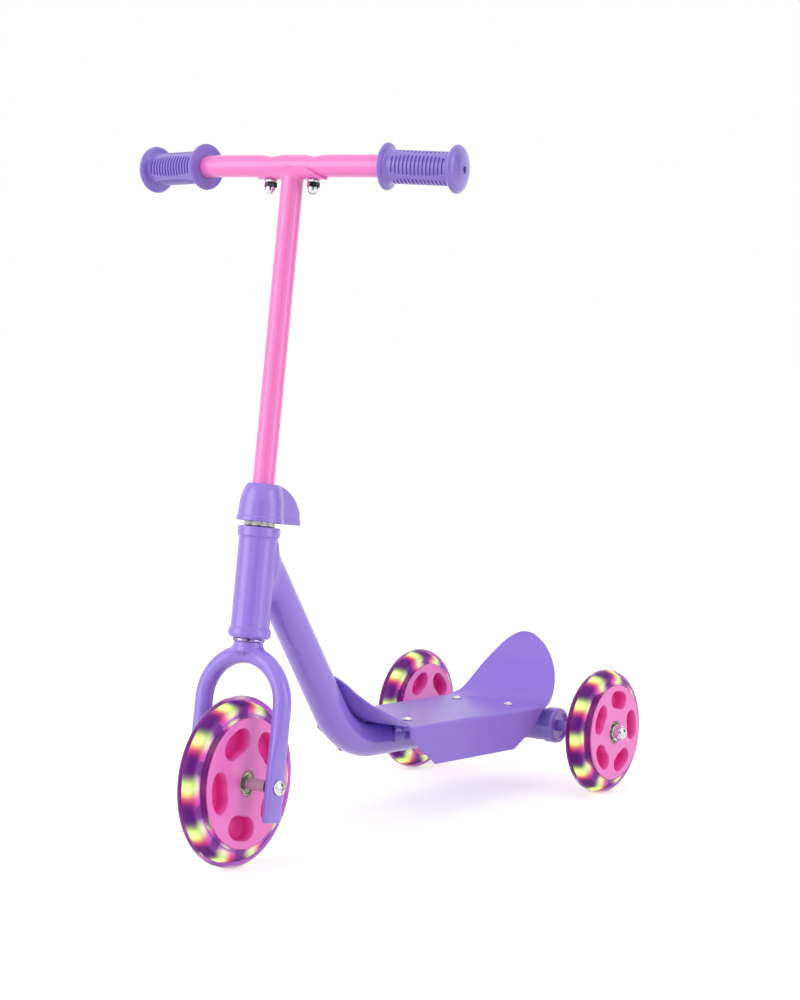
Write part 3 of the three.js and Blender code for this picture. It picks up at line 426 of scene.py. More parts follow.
def paintMaterial(name, colour, shade, drift=0.3, wave=900.0, peel=0.00003, speck=0.1, **values):
    material, tree, shader = newMaterial(name, **values)
    given = {"Colour": colour, "Shade": shade, "Drift": drift, "Wave Scale": wave, "Speck": speck}
    skin = addNode(tree, "ShaderNodeGroup", given, node_tree=paintSkin)
    tree.links.new(skin.outputs["Colour"], shader.inputs["Base Color"])
    tree.links.new(skin.outputs["Roughness"], shader.inputs["Roughness"])
    addBump(tree, shader, skin.outputs["Height"], 0.35, peel)
    return material


def metalMaterial(name, colour, stained, roughness):
    material, tree, shader = newMaterial(name, Metallic=1.0)
    skin = addNode(tree, "ShaderNodeGroup", node_tree=metalSkin).outputs
    tree.links.new(mixColours(tree, skin["Mask"], colour, stained), shader.inputs["Base Color"])
    tree.links.new(ranged(tree, skin["Mask"], low=roughness[0], high=roughness[1]), shader.inputs["Roughness"])
    addBump(tree, shader, skin["Height"], 0.25, 0.00002)
    return material


# Clear plastic with a slightly cloudy tint
def clearMaterial(name, scale, detail, tint, cloudy, roughness, **values):
    material, tree, shader = newMaterial(name, **values)
    cloud = noise(tree, scale, detail)
    tree.links.new(mixColours(tree, cloud, tint, cloudy), shader.inputs["Base Color"])
    tree.links.new(ranged(tree, cloud, low=roughness[0], high=roughness[1]), shader.inputs["Roughness"])
    return material


lilacPaint = paintMaterial("lilacPaint", (0.325, 0.21, 0.8, 1), (0.3, 0.185, 0.76, 1),
                           Coat_Weight=0.5, Coat_Roughness=0.13)
boardPaint = paintMaterial("boardPaint", (0.325, 0.212, 0.765, 1), (0.305, 0.195, 0.72, 1), drift=0.4,
                           Specular_IOR_Level=0.18)
pinkPaint = paintMaterial("pinkPaint", (1.0, 0.225, 0.63, 1), (1.0, 0.2, 0.6, 1),
                          Coat_Weight=0.5, Coat_Roughness=0.14)
hoodPlastic = paintMaterial("hoodPlastic", (0.32, 0.21, 0.78, 1), (0.295, 0.185, 0.74, 1), wave=500.0,
                            Coat_Weight=0.6, Coat_Roughness=0.12)
gripPlastic = paintMaterial("gripPlastic", (0.25, 0.17, 0.66, 1), (0.225, 0.145, 0.61, 1), wave=1600.0,
                            peel=0.00005, speck=0.2, Coat_Weight=0.6, Coat_Roughness=0.22)
darkPlastic = paintMaterial("darkPlastic", (0.03, 0.028, 0.035, 1), (0.02, 0.02, 0.025, 1), wave=1500.0)
# The crown race's metal is tinted lilac: a painted reflection of the lilac paint around it
raceMetal = metalMaterial("raceMetal", (0.34, 0.26, 0.56, 1), (0.26, 0.2, 0.46, 1), (0.15, 0.25))
chrome = metalMaterial("chrome", (0.74, 0.74, 0.77, 1), (0.55, 0.55, 0.58, 1), (0.05, 0.12))
nutMetal = metalMaterial("nutMetal", (0.5, 0.49, 0.5, 1), (0.3, 0.29, 0.3, 1), (0.1, 0.2))
steel = metalMaterial("steel", (0.36, 0.35, 0.29, 1), (0.2, 0.18, 0.13, 1), (0.22, 0.4))
tyreClear = clearMaterial("tyreClear", 55.0, 3.0, (0.45, 0.088, 0.57, 1), (0.39, 0.068, 0.51, 1), (0.1, 0.17),
                          Transmission_Weight=0.92, IOR=1.2, Specular_IOR_Level=0.4)
spacerClear = clearMaterial("spacerClear", 300.0, 2.0, (0.97, 0.76, 0.86, 1), (0.9, 0.66, 0.8, 1), (0.15, 0.3),
                            Transmission_Weight=0.55, IOR=1.3)


# The hub's plastic is more saturated down in its pockets, by the distance from the wheel's middle: painted shade and
# pink interreflection in the recesses
def hubMaterial(name, centre):
    material = paintMaterial(name, (1.0, 0.215, 0.66, 1), (1.0, 0.2, 0.64, 1), wave=600.0,
                             Coat_Weight=0.3, Coat_Roughness=0.15)
    tree = material.node_tree
    skin = next(node for node in tree.nodes if node.type == "GROUP")
    place = addNode(tree, "ShaderNodeTexCoord").outputs["Object"]
    x = addNode(tree, "ShaderNodeSeparateXYZ", {0: place}).outputs["X"]
    off = maths(tree, "ABSOLUTE", maths(tree, "SUBTRACT", x, centre[0] / 1000))
    # deep magenta painted near the wheel's middle plane, in the pockets, for their shade and interreflection
    tint = mixColours(tree, ranged(tree, off, 0.0132, 0.006), skin.outputs["Colour"], (0.9, 0.05, 0.4, 1))
    tree.links.new(tint, tree.nodes["Principled BSDF"].inputs["Base Color"])
    return material


# The lamp ring: violet with a faint painted glow by the hub and dark purple elsewhere, with a coloured light in each
# lamp's share
def glowMaterial(name, centre, turn, radius):
    material, tree, shader = newMaterial(name, Roughness=0.45, Specular_IOR_Level=0.15, Emission_Strength=12.0)
    glow = addNode(tree, "ShaderNodeGroup", {"Centre": centre / 1000, "Turn": turn, "Radius": radius / 1000},
                   node_tree=lampGlow).outputs
    base = mixColours(tree, glow["Box"], (1.0, 0.7, 1.0, 1), (0.16, 0.06, 0.22, 1))
    tree.links.new(base, shader.inputs["Base Color"])
    # the strip by the hub glows faintly white: a painted glow, not a lamp
    lit = mixColours(tree, glow["Box"], (0.03, 0.026, 0.034, 1), (0.003, 0.0, 0.005, 1))
    light = mixColours(tree, glow["Strength"], lit, glow["Colour"])
    tree.links.new(light, shader.inputs["Emission Color"])
    return material


print("materials made")


# Wheels

wheelSizes = {
    "tyreHalfWidth": 10.95,
    "flatHalfWidth": 0.75,
    "lipHalfWidth": 13.6,
    "lipHeight": 3.3,
    "hubHalfWidth": 14.0,
    "rimFillet": 0.9,
    "boreRadius": 8.1,
    "seatRadius": 11.15,
    "seatDepth": 6.8,
    "pocketCount": 5,
    "pocketInner": 0.485,      # shares of the hub's radius
    "pocketOuter": 0.892,
    "pocketHalf": 0.335,
    "pocketWidest": 0.7,       # share of the pocket's length
    "pocketFullness": 2.4,
    # how deep the pocket's wall is at an inset from its edge
    "pocketWall": ([0, 0.25, 0.5, 0.7, 0.85, 1.8, 2.1, 2.5], [0, 0.03, 0.12, 0.3, 0.85, 11.6, 12.2, 12.4]),
    "lampHalfWidth": 5.2,
    "lampDepth": 4.4,          # from the ring's outer face to the lamps' middle
}
wheels = {
    "front_wheel": {"hub": 57.6, "tread": 6.5, "turn": 39.0, "lampTurn": -15.0},
    "rear_left_wheel": {"hub": 46.4, "tread": 5.2, "turn": 5.0, "lampTurn": 15.5},
    "rear_right_wheel": {"hub": 46.4, "tread": 5.2, "turn": 44.5, "lampTurn": -10.0},
}


# The tyre's section: half of an ellipse over the road, joined smoothly to a lip that slopes out to
# the hub's face. Both are widths over the radius, and the wider of the two counts.
def tyreProfile(radius, hubRadius, sizes):
    foot = hubRadius + sizes["lipHeight"]
    r = hubRadius + (radius - hubRadius) * np.sin(np.linspace(0, math.pi / 2, 44))
    rise = np.clip((r - foot) / (radius - foot), 0, 1)
    crown = sizes["flatHalfWidth"] + (sizes["tyreHalfWidth"] - sizes["flatHalfWidth"]) * np.sqrt(1 - rise ** 2)
    lip = sizes["lipHalfWidth"] - (r - hubRadius) * (
        sizes["lipHalfWidth"] - sizes["tyreHalfWidth"]) / sizes["lipHeight"]
    width = np.where(r < radius - 2, smoothMax(crown, lip, 1.6), crown)
    width[0] -= 0.5                                           # the lip's own small round
    half = np.stack([r, width], -1)
    return np.vstack([half, (half * [1, -1])[::-1]])


# The hub's face. Within a fifth of a turn the columns run from the middle of a spoke to the
# pocket's edge, down its wall and over its floor, so that edges fall on grid lines at each radius.
# The pocket is a quarter ellipse out to its widest place and a fuller curve beyond it, and the
# depth is a table of the smaller inset from the side and from the ends.
def hubShell(hubRadius, sizes):
    inner, outer = sizes["pocketInner"] * hubRadius, sizes["pocketOuter"] * hubRadius
    wall = np.array([0.0, 0.25, 0.5, 0.7, 0.85, 1.3, 1.8, 2.1, 2.5])
    insetEnds = np.concatenate([wall, np.linspace(2.5, (outer - inner) / 2, 9)[1:]])
    radii = np.concatenate([
        np.linspace(sizes["seatRadius"] + 1.2, inner, 6)[:-1], inner + insetEnds,
        (outer - insetEnds)[::-1][1:], np.linspace(outer, hubRadius - sizes["rimFillet"], 5)[1:]])
    fromEnd = np.minimum(radii - inner, outer - radii)
    t = np.clip((radii - inner) / (outer - inner), 0.001, 0.999)
    widest, power = sizes["pocketWidest"], sizes["pocketFullness"]
    inwards = np.sqrt(np.clip(1 - (1 - t / widest) ** 2, 0, 1))
    outwards = np.clip(1 - np.clip((t - widest) / (1 - widest), 0, 1) ** power, 0, 1) ** (1 / power)
    halfWidth = sizes["pocketHalf"] * hubRadius * np.where(t < widest, inwards, outwards)
    halfWidth = np.maximum(halfWidth, 0.8)
    step = math.pi / sizes["pocketCount"]
    landShare = np.linspace(1, 0, 6)[:-1]                       # 1 at the spoke's middle, 0 at the edge
    floorShare = np.linspace(1, 0, 6)[1:]                       # 0 at the pocket's middle
    edgeAngle = np.arcsin(np.clip(halfWidth / radii, 0, 0.95))
    land = edgeAngle[:, None] + (step - edgeAngle[:, None]) * landShare
    inset = np.minimum(wall, 0.8 * halfWidth[:, None])
    walls = np.arcsin(np.clip((halfWidth[:, None] - inset) / radii[:, None], 0, 0.95))
    floors = walls[:, -1:] * floorShare
    quarter = np.concatenate([land, walls, floors], 1)          # from the spoke's middle to the pocket's
    insetSide = np.concatenate([np.zeros_like(land), inset, inset[:, -1:] + 9 * (1 - floorShare)], 1)
    depth = np.interp(np.minimum(insetSide, np.maximum(fromEnd, 0)[:, None]), *sizes["pocketWall"])
    angles = np.concatenate([quarter, -quarter[:, -2:0:-1]], 1)
    depth = np.concatenate([depth, depth[:, -2:0:-1]], 1)
    turns = np.arange(sizes["pocketCount"]) * 2 * step
    angles = (angles[:, None, :] - turns[None, :, None]).reshape(len(radii), -1)
    depth = np.tile(depth, (1, sizes["pocketCount"]))
    x = sizes["hubHalfWidth"] - depth
    seat = rounded([(sizes["boreRadius"], 0), (sizes["boreRadius"], sizes["seatDepth"]),
                    (sizes["seatRadius"], sizes["seatDepth"]), (sizes["seatRadius"], sizes["hubHalfWidth"]),
                    (sizes["seatRadius"] + 1.2, sizes["hubHalfWidth"])], [0, 0.3, 0.2, 0.5, 0], 3,
                   closed=False)[:-1]
    rimArc = np.linspace(0, math.pi / 2, 5)[1:]
    rim = np.stack([hubRadius - sizes["rimFillet"] * (1 - np.sin(rimArc)),
                    sizes["hubHalfWidth"] - sizes["rimFillet"] * (1 - np.cos(rimArc))], -1)
    rows = lambda values: np.broadcast_to(values[:, None], (len(values), angles.shape[1]))
    rowRadius = np.concatenate([rows(seat[:, 0]), rows(radii), rows(rim[:, 0])])
    rowX = np.concatenate([rows(seat[:, 1]), x, rows(rim[:, 1])])
    rowAngle = np.concatenate([np.repeat(angles[:1], len(seat), 0), angles, np.repeat(angles[-1:], len(rim), 0)])
    face = np.stack([rowX, rowRadius * np.cos(rowAngle), rowRadius * np.sin(rowAngle)], -1)
    back = face * [-1, 1, 1]
    return shell(np.concatenate([face, back[::-1][:-1]]), wrapRows=True)


def bearingProfile():
    return rounded([(4.2, 7), (11, 7), (11, 14), (9.4, 14), (9.0, 12.6), (6.9, 12.6), (6.5, 14), (4.2, 14)],
                   [0.3, 0.3, 0.5, 0.2, 0.2, 0.2, 0.3, 0.3], 3)


def makeWheel(name, choice, sizes):
    low, high = boxOf(name + "_tyre")
    centre, radius = (low + high) / 2, (high[2] - low[2]) / 2
    place = lambda points: points + centre
    tyre = turnedX(tyreProfile(radius, choice["hub"] + 0.2, sizes), 144)
    makePiece(name + "Tyre", name + "_tyre", name, tyreClear, "tyre", place, tyre)
    half, bottom, top = sizes["lampHalfWidth"], choice["hub"] + 0.5, radius - choice["tread"] - 0.35
    ring = rounded([(bottom, -half), (top, -half), (top, half), (bottom, half)], [0.4, 2.4, 2.4, 0.4], 5)
    glow = glowMaterial(name + "Glow", centre, math.radians(choice["lampTurn"]), top - sizes["lampDepth"])
    makePiece(name + "LampRing", name + "_led_ring", name, glow, "lamp_plastic", place, turnedX(ring, 120))
    turn = math.radians(choice["turn"])
    makePiece(name + "Hub", name + "_hub", name, hubMaterial(name + "HubPlastic", centre), "hub_plastic",
              lambda points: place(tipped(points, -turn)), hubShell(choice["hub"] - 0.3, sizes))
    for side, end in handed:
        makePiece(name + "Bearing" + end.capitalize(), name + "_bearing_" + end, name, steel, "steel", place,
                  turnedX(bearingProfile(), 64, flip=side < 0))


for name, choice in wheels.items():
    makeWheel(name, choice, wheelSizes)
print("wheels made")


# Fork

forkSizes = {
    "legOffset": 42.3,
    "archCentre": 68.6,
    "tubeRadius": 8.0,
    "flattenStart": 52.0,
    "flattenEnd": 14.0,
    "legTip": -31.0,
    "tipHalfDepth": 10.4,
    "tipHalfThickness": 4.45,
    "tipRound": 2.2,
    "socketRadius": 12.7,
    "socketTop": 121.4,
    "steererRadius": 11.1,
    "steererTop": 247.0,
    "socketFoot": 113.5,
    "weldBlend": 6.5,
    "weldWidth": 1.8,
    "weldHeight": 0.22,
    "tongueHalf": 6.2,
    "tongueRoot": 114.8,
    # share of the tongue's outline, height off the crown
    "tongueRows": [(0.3, 0.62), (0.5, 0.62), (0.64, 0.66), (0.76, 0.7), (0.86, 0.6), (0.94, 0.3), (1.0, -0.05),
                   (1.05, -0.4)],
}


# One tube from tip to tip. Its section is |x/a|^n + |y/b|^n = 1: a circle in the arch, going over
# to a flat, squarer form at the lower ends, drawn in over the last stretch for a rounded end
def forkTube(sizes):
    tip, offset = sizes["legTip"], sizes["legOffset"]
    end = tip + sizes["tipRound"] * (1 - np.cos(np.linspace(0, math.pi / 2, 6)))
    leg = np.concatenate([end, np.linspace(end[-1], sizes["flattenStart"], 30)[1:],
                          np.linspace(sizes["flattenStart"], sizes["archCentre"], 6)[1:]])
    angle = np.linspace(math.pi, 0, 91)[1:-1]
    arch = np.stack([offset * np.cos(angle), 0 * angle, sizes["archCentre"] + offset * np.sin(angle)], -1)
    left = np.stack([np.full_like(leg, -offset), 0 * leg, leg], -1)
    path = np.vstack([left, arch, (left * [-1, 1, 1])[::-1]])
    height = np.concatenate([leg, np.full(len(arch), 200.0), leg[::-1]])
    roundness = eased(height, sizes["flattenEnd"], sizes["flattenStart"])
    a = sizes["tipHalfThickness"] + (sizes["tubeRadius"] - sizes["tipHalfThickness"]) * roundness
    b = sizes["tipHalfDepth"] + (sizes["tubeRadius"] - sizes["tipHalfDepth"]) * roundness
    power = 3.6 - 1.6 * roundness
    draw = np.clip((height - tip) / sizes["tipRound"], 0, 1)
    pulled = sizes["tipRound"] * (1 - np.sqrt(1 - (1 - draw) ** 2))
    a, b = a - np.minimum(pulled, a * 0.4), b - pulled
    theta = ringAngles(48)
    c, s = np.cos(theta), np.sin(theta)
    x = a[:, None] * np.sign(c) * np.abs(c) ** (2 / power[:, None])
    y = b[:, None] * np.sign(s) * np.abs(s) ** (2 / power[:, None])
    # square to the path in its own plane: x offsets turn with the arch, y offsets stay along y
    tangent = unit(np.gradient(path, axis=0))
    tangent[:len(leg)], tangent[-len(leg):] = [0, 0, 1], [0, 0, -1]
    out = np.cross(tangent, [0, 1, 0])
    points = path[:, None] + x[..., None] * out[:, None] + y[..., None] * [0, 1, 0]
    return shell(points, capFirst=True, capLast=True)


# How far points lie outside the crown: the smooth union of the arch, a ring of round section, and
# of the socket, a short cylinder, with the scales of the weld as waves round the line between them
def outsideCrown(points, sizes):
    x, y, z = np.moveaxis(points, -1, 0)
    arch = np.hypot(np.hypot(x, z - sizes["archCentre"]) - sizes["legOffset"], y) - sizes["tubeRadius"]
    across = np.hypot(x, y) - sizes["socketRadius"]
    socket = smoothMax(np.maximum(across, z - sizes["socketTop"]), sizes["socketFoot"] - z, 1.5)
    scales = np.sin(26 * np.arctan2(y, x) + 2 * np.sin(9 * np.arctan2(y, x)))
    scales = scales * np.exp(-((arch - socket) / sizes["weldWidth"]) ** 2) * eased(np.abs(x), 8, 11)
    return smoothMin(arch, socket, sizes["weldBlend"]) - sizes["weldHeight"] * scales


# The socket before it is settled on the crown: rows of rings down its side and in under itself
def crownSocket(sizes):
    r, top, foot = sizes["socketRadius"], sizes["socketTop"], sizes["socketFoot"]
    profile = np.vstack([[(0, top), (11, top), (r - 0.7, top), (r - 0.2, top - 0.2), (r, top - 0.7)],
                         refined([(r, top - 1.5), (r, foot + 0.8)], 0.7),
                         [(r - 0.4, foot + 0.3), (r - 1.0, foot)],
                         refined([(r - 1.6, foot), (3, foot)], 1.0), [(0, foot)]])
    return turnedZ(profile, 120)


# A tongue pressed over the arch in front or behind: a half disc whose rows are carried along y
# onto the crown and stand a little off it, the outermost rows dipping under its surface
def crownTongue(sizes, side):
    half, root = sizes["tongueHalf"], sizes["tongueRoot"]
    turn = np.linspace(0, math.pi, 33)
    outline = np.stack([half * np.cos(turn), root - half * 0.95 * np.sin(turn)], -1)
    outline = np.vstack([[(half, root + 6)], outline, [(-half, root + 6)]])
    middle = np.array([0, root + 0.5])
    rows = []
    for shrink, lift in sizes["tongueRows"]:
        x, z = (middle + (outline - middle) * shrink).T
        lift = lift - (lift + 0.5) * eased(z, root + 0.5, root + 4)
        y = np.full_like(x, sizes["socketRadius"] + 2)
        for _ in range(12):
            y = y - 0.8 * (outsideCrown(np.stack([x, y, z], -1), sizes) - lift)
        rows.append(np.stack([x, side * y, z], -1))
    return shell(np.stack(rows), capFirst=True, capLast=True)


def makeFork(sizes):
    r, top = sizes["steererRadius"], sizes["steererTop"]
    steerer = turnedZ(rounded([(10, 112), (r, 112), (r, top), (10, top)], 0.3, 3))
    outside = lambda points: outsideCrown(points, sizes)
    tube = forkTube(sizes)
    tube = settled(tube, outside, 2.4, tube[0][:, 2] > sizes["archCentre"] + 12)
    makePiece("forkBody", "fork", "steering", lilacPaint, "lilac_paint", leaned, tube,
              settled(crownSocket(sizes), outside, 2.4), steerer, crownTongue(sizes, -1), crownTongue(sizes, 1))


makeFork(forkSizes)
print("fork made")


# Head

tubeSizes = {
    "radius": 15.9, "bore": 14.1, "meets": 202.5, "angle": 55.8, "bendRadius": 85.5, "gap": 0.3, "joint": 48.0,
    "rearEnd": 16.1,           # how far forward of the rear axle it ends
}
headSizes = {
    "radius": 17.0, "bore": 14.9, "bottom": 125.0, "top": 222.1,
    "collar": 18.65, "collarHeight": 8.5, "chamfer": 2.2, "seat": 15.9, "jointBlend": 8.0,
    "raceRadius": 14.0, "nutCorner": 14.0, "nutSides": 10, "nutHeight": 6.4,
}


# How far points in the leaned frame lie outside the head tube and the down tube joined smoothly
def outsideHeadJoint(points, head, tube):
    headDistance = np.hypot(points[:, 0], points[:, 1]) - head["radius"]
    start = np.array([0, 0, tube["meets"]])
    turn = math.radians(tube["angle"]) - lean
    run = np.array([0, math.cos(turn), -math.sin(turn)])
    offAxis = points - start - ((points - start) @ run)[:, None] * run
    tubeDistance = np.linalg.norm(offAxis, axis=1) - tube["radius"]
    return smoothMin(headDistance, tubeDistance + 20 * (1 - eased(points[:, 1], 0, 9)), head["jointBlend"])


def makeHead(sizes, tube):
    low, high, r, c, h, seat = (sizes[key] for key in ("bottom", "top", "radius", "collar", "collarHeight", "seat"))
    below = rounded([
        (seat, low + 7.4), (seat, low), (c - sizes["chamfer"], low), (c, low + sizes["chamfer"]),
        (c, low + h - 1.2), (c - 0.55, low + h - 0.9), (c - 0.55, low + h), (r, low + h + 0.6),
        (r, low + h + 5)], [0, 0.4, 0.8, 0.9, 0.5, 0.3, 0.3, 0.9, 0], 4, closed=False)
    above = rounded([
        (r, high - h - 5), (r, high - h - 0.5), (c - 0.3, high - h), (c, high - h + 0.5), (c, high), (seat, high),
        (seat, high - 7.4), (sizes["bore"], high - 7.4), (sizes["bore"], low + 7.4)],
        [0, 0.8, 0.4, 0.4, 0.9, 0.5, 0, 0, 0], 4, closed=False)
    side = refined([(r, low + h + 5), (r, high - h - 5)], 1.2)[1:-1]
    part = turnedZ(np.vstack([below, side, above]), 144)
    middle = (part[0][:, 2] > low + h + 1.5) & (part[0][:, 2] < high - h - 1.5)
    free = middle & (np.hypot(part[0][:, 0], part[0][:, 1]) > r - 0.1)
    part = settled(part, lambda points: outsideHeadJoint(points, sizes, tube), 2.5, free)
    makePiece("headTube", "head_tube", "frame", lilacPaint, "lilac_paint", leaned, part)
    r = sizes["raceRadius"]
    race = rounded([(11.4, 121.7), (r - 0.8, 121.7), (r, 122.6), (r, 124.7), (11.4, 124.7)], 0.35, 3)
    makePiece("crownRace", "crown_race", "steering", raceMetal, "chrome", leaned, turnedZ(race))


# A many-sided nut: the radius is that of the polygon, cut by a cone at both ends for the chamfer
def nutShell(corner, sides, bore, low, high, chamfer=0.8):
    angle = ringAngles(sides * 12)
    local = (angle + math.pi / sides) % (2 * math.pi / sides) - math.pi / sides
    polygon = corner * math.cos(math.pi / sides) / np.cos(local)
    z = np.array([low, low + chamfer * 0.5, low + chamfer, (low + high) / 2, high - chamfer,
                  high - chamfer * 0.5, high])
    cone = corner + 0.02 - np.maximum(np.maximum(low + chamfer - z, z - high + chamfer), 0) * 1.1
    radius = np.pad(np.minimum(polygon[None], cone[:, None]), ((1, 1), (0, 0)), constant_values=bore)
    return shell(gridZ(radius, angle, np.pad(z, 1, "edge")[:, None]), wrapRows=True)


def makeLockNut(sizes):
    low = sizes["top"] + 0.3
    nut = nutShell(sizes["nutCorner"], sizes["nutSides"], 11.4, low, low + sizes["nutHeight"], 0.9)
    makePiece("lockNut", "lock_nut", "steering", nutMetal, "chrome", leaned, nut, sharp=20)


makeHead(headSizes, tubeSizes)
makeLockNut(headSizes)

hoodSizes = {
    "bottom": 226.7, "height": 33.6, "radius": 20.6, "wall": 2.0,
    "humpHalfWidth": 11.7, "humpHeight": 33.0, "humpReach": 42.1, "humpShift": 3.0,
    "blend": 2.0, "edge": 6.0, "lip": 0.54, "lipHeight": 4.2, "stemHole": 10.05,
}


# The hood: around the stem a bell, r from a smooth table of height; behind it a hump whose side
# view is a quarter ellipse and whose sides are straight. The two are joined by smooth maximum.
def hoodRadius(z, angle, sizes):
    share = z / sizes["height"]
    bell = sizes["radius"] * smoothTable(share, [0, 0.13, 0.26, 0.515, 0.775, 0.9, 1.0],
                                         [1, 0.978, 0.962, 0.93, 0.83, 0.75, 0.655])
    reach = sizes["humpShift"] + sizes["humpReach"] * np.sqrt(np.clip(1 - (z / sizes["humpHeight"]) ** 2, 0, 1))
    sine, cosine = np.sin(angle), np.abs(np.cos(angle))
    small, far = 0.02, 200                                     # keep the two quotients finite
    sides = np.minimum(sizes["humpHalfWidth"] / np.maximum(cosine, small), far)
    back = np.minimum(reach / np.maximum(sine, small), far)
    hump = np.where(sine > small, smoothMin(sides, back, sizes["edge"]), 0)
    lip = sizes["lip"] * (1 - eased(z, sizes["lipHeight"] - 0.7, sizes["lipHeight"]))
    return smoothMax(bell, hump, sizes["blend"]) + lip


def makeHood(sizes):
    angle = ringAngles(192)[None]
    foot, hole = sizes["lipHeight"] + 0.6, sizes["stemHole"]
    z = np.concatenate([[0], np.linspace(0.3, foot, 8), foot + (sizes["height"] - foot - 1.4)
                        * np.sin(np.linspace(0, math.pi / 2, 30))[1:]])
    z = np.minimum(z, sizes["height"] - 0.9)[:, None]
    outer = hoodRadius(z, angle, sizes)
    inner = hoodRadius(np.minimum(z * 1.02, sizes["height"]), angle, sizes) - sizes["wall"]
    inner = np.maximum(inner, hole)
    top = outer[-1]
    rows = [(inner[0], z[0]), (outer[0] - 0.4, z[0]), *zip(outer, z + 0.25), (top - 0.35, z[-1] + 0.6),
            (top - 1.0, z[-1] + 0.85), (np.full_like(top, hole), z[-1] + 0.9)]
    rows += list(zip(inner[::-1], z[::-1] - sizes["wall"] * eased(z[::-1], 4, 12)))[1:-1]
    radius, height = (np.stack([np.broadcast_to(row[k], angle.shape[1]) for row in rows]) for k in (0, 1))
    makePiece("hood", "head_cover", "steering", hoodPlastic, "lilac_plastic", leaned,
              shell(gridZ(radius, angle, height + sizes["bottom"]), wrapRows=True))


makeHood(hoodSizes)
print("head made")


# Stem and handlebar

barSizes = {
    "height": 538.5, "radius": 9.9, "bore": 8.4, "bend": 84.0, "bendRadius": 130.0, "arm": 81.5,
    "sweep": 9.1, "droop": 0.7,
    "stemRadius": 9.7, "stemBore": 8.3, "stemBottom": 152.0, "fillet": 2.6,
    "saddleHalf": 36.5, "saddleSlant": 15.0, "saddleThickness": 1.9, "saddleAngle": 76.0, "saddleCorner": 4.0,
    "boltOffset": 23.0, "dimpleDepth": 1.5, "dimpleHalf": 13.0,
}


def armTurn(side, sizes):
    b, d = side * math.radians(sizes["sweep"]), side * math.radians(sizes["droop"])
    aboutZ = np.array([[math.cos(b), -math.sin(b), 0], [math.sin(b), math.cos(b), 0], [0, 0, 1]])
    aboutY = np.array([[math.cos(d), 0, math.sin(d)], [0, 1, 0], [-math.sin(d), 0, math.cos(d)]])
    return aboutZ @ aboutY


def onArm(side, sizes):
    matrix = armTurn(side, sizes).T
    return lambda points: leaned(points @ matrix + [side * sizes["bend"], 0, sizes["height"]])


def makeBar(sizes):
    right, left = (np.array([side * sizes["bend"], 0, sizes["height"]]) for side in (-1, 1))
    corners = [right + armTurn(-1, sizes) @ [-sizes["arm"], 0, 0], right, left,
               left + armTurn(1, sizes) @ [sizes["arm"], 0, 0]]
    path = refined(rounded(corners, sizes["bendRadius"], 16, closed=False), 1.5)
    outer, inner = (swept(path, circle(sizes[key], 64), [0, 0, 1]) for key in ("radius", "bore"))
    near = np.abs(np.abs(outer[..., 0]) - sizes["boltOffset"]) / sizes["dimpleHalf"]
    high = np.clip((outer[..., 2] - sizes["height"]) / sizes["radius"], 0, 1)
    outer[..., 2] -= sizes["dimpleDepth"] * (1 - eased(near, 0, 1)) * high ** 1.5
    makePiece("barTube", "handlebar", "steering", pinkPaint, "pink_paint", leaned,
              shell(np.concatenate([outer, inner[::-1]]), wrapRows=True))


# A plate between two grids of points, closed all round: its columns run over the outer face and
# back over the inner one, and the first and last rows are closed across its thickness
def closedPlate(outer, inner):
    vertices, quads, fans = shell(np.concatenate([outer, inner[:, ::-1]], 1))
    rows, columns = outer.shape[:2]
    index = np.arange(rows * columns * 2).reshape(rows, -1)
    ends = []
    for row, turn in ((index[0], -1), (index[-1], 1)):
        outside, inside = row[:columns], row[columns:][::-1]
        ends.append(np.stack([outside[:-1], outside[1:], inside[1:], inside[:-1]], -1)[:, ::turn])
    return vertices, np.vstack([quads] + ends), fans


# The stem's top row follows the saddle, z = bar - sqrt(R^2 - y^2), and flares into it over a
# quarter-round fillet; the saddle is part of a pipe about the bar whose corners are rounded off
def makeStem(sizes):
    angle, r, f = ringAngles(80), sizes["stemRadius"], sizes["fillet"]
    over = sizes["radius"] + 0.25
    under = over + sizes["saddleThickness"]
    foot = np.full_like(angle, sizes["stemBottom"])
    rows = [(sizes["stemBore"], foot), (r - 0.3, foot), (r, foot + 0.3)]
    for phi in np.linspace(0, math.pi / 2, 7):
        flare = r + f * (1 - math.cos(phi))
        y = np.minimum(np.abs(flare * np.sin(angle)), under * 0.985)
        rows.append((flare, sizes["height"] - np.sqrt(under ** 2 - y ** 2) - f * (1 - math.sin(phi))))
    rows.append((r - 1, rows[-1][1] + 0.8))
    rows.append((sizes["stemBore"], rows[-1][1] - 0.5))
    tube = shell(np.stack([gridZ(radius, angle, z) for radius, z in rows]), wrapRows=True)
    limit, corner = math.radians(sizes["saddleAngle"]), sizes["saddleCorner"]
    beta = np.linspace(-limit, limit, 49)
    past = np.clip((np.abs(beta) * under - (limit * under - corner)) / corner, 0, 1)
    half = sizes["saddleHalf"] - sizes["saddleSlant"] * (np.abs(beta) / limit) ** 1.5
    half = half - corner * (1 - np.sqrt(1 - past ** 2))
    x = np.linspace(-1, 1, 25)[:, None] * half
    faces = [np.stack(np.broadcast_arrays(x, r * np.sin(beta), sizes["height"] - r * np.cos(beta)), -1)
             for r in (under, over)]
    makePiece("stemTube", "stem", "steering", pinkPaint, "pink_paint", leaned, tube, closedPlate(*faces), bevel=0.35)


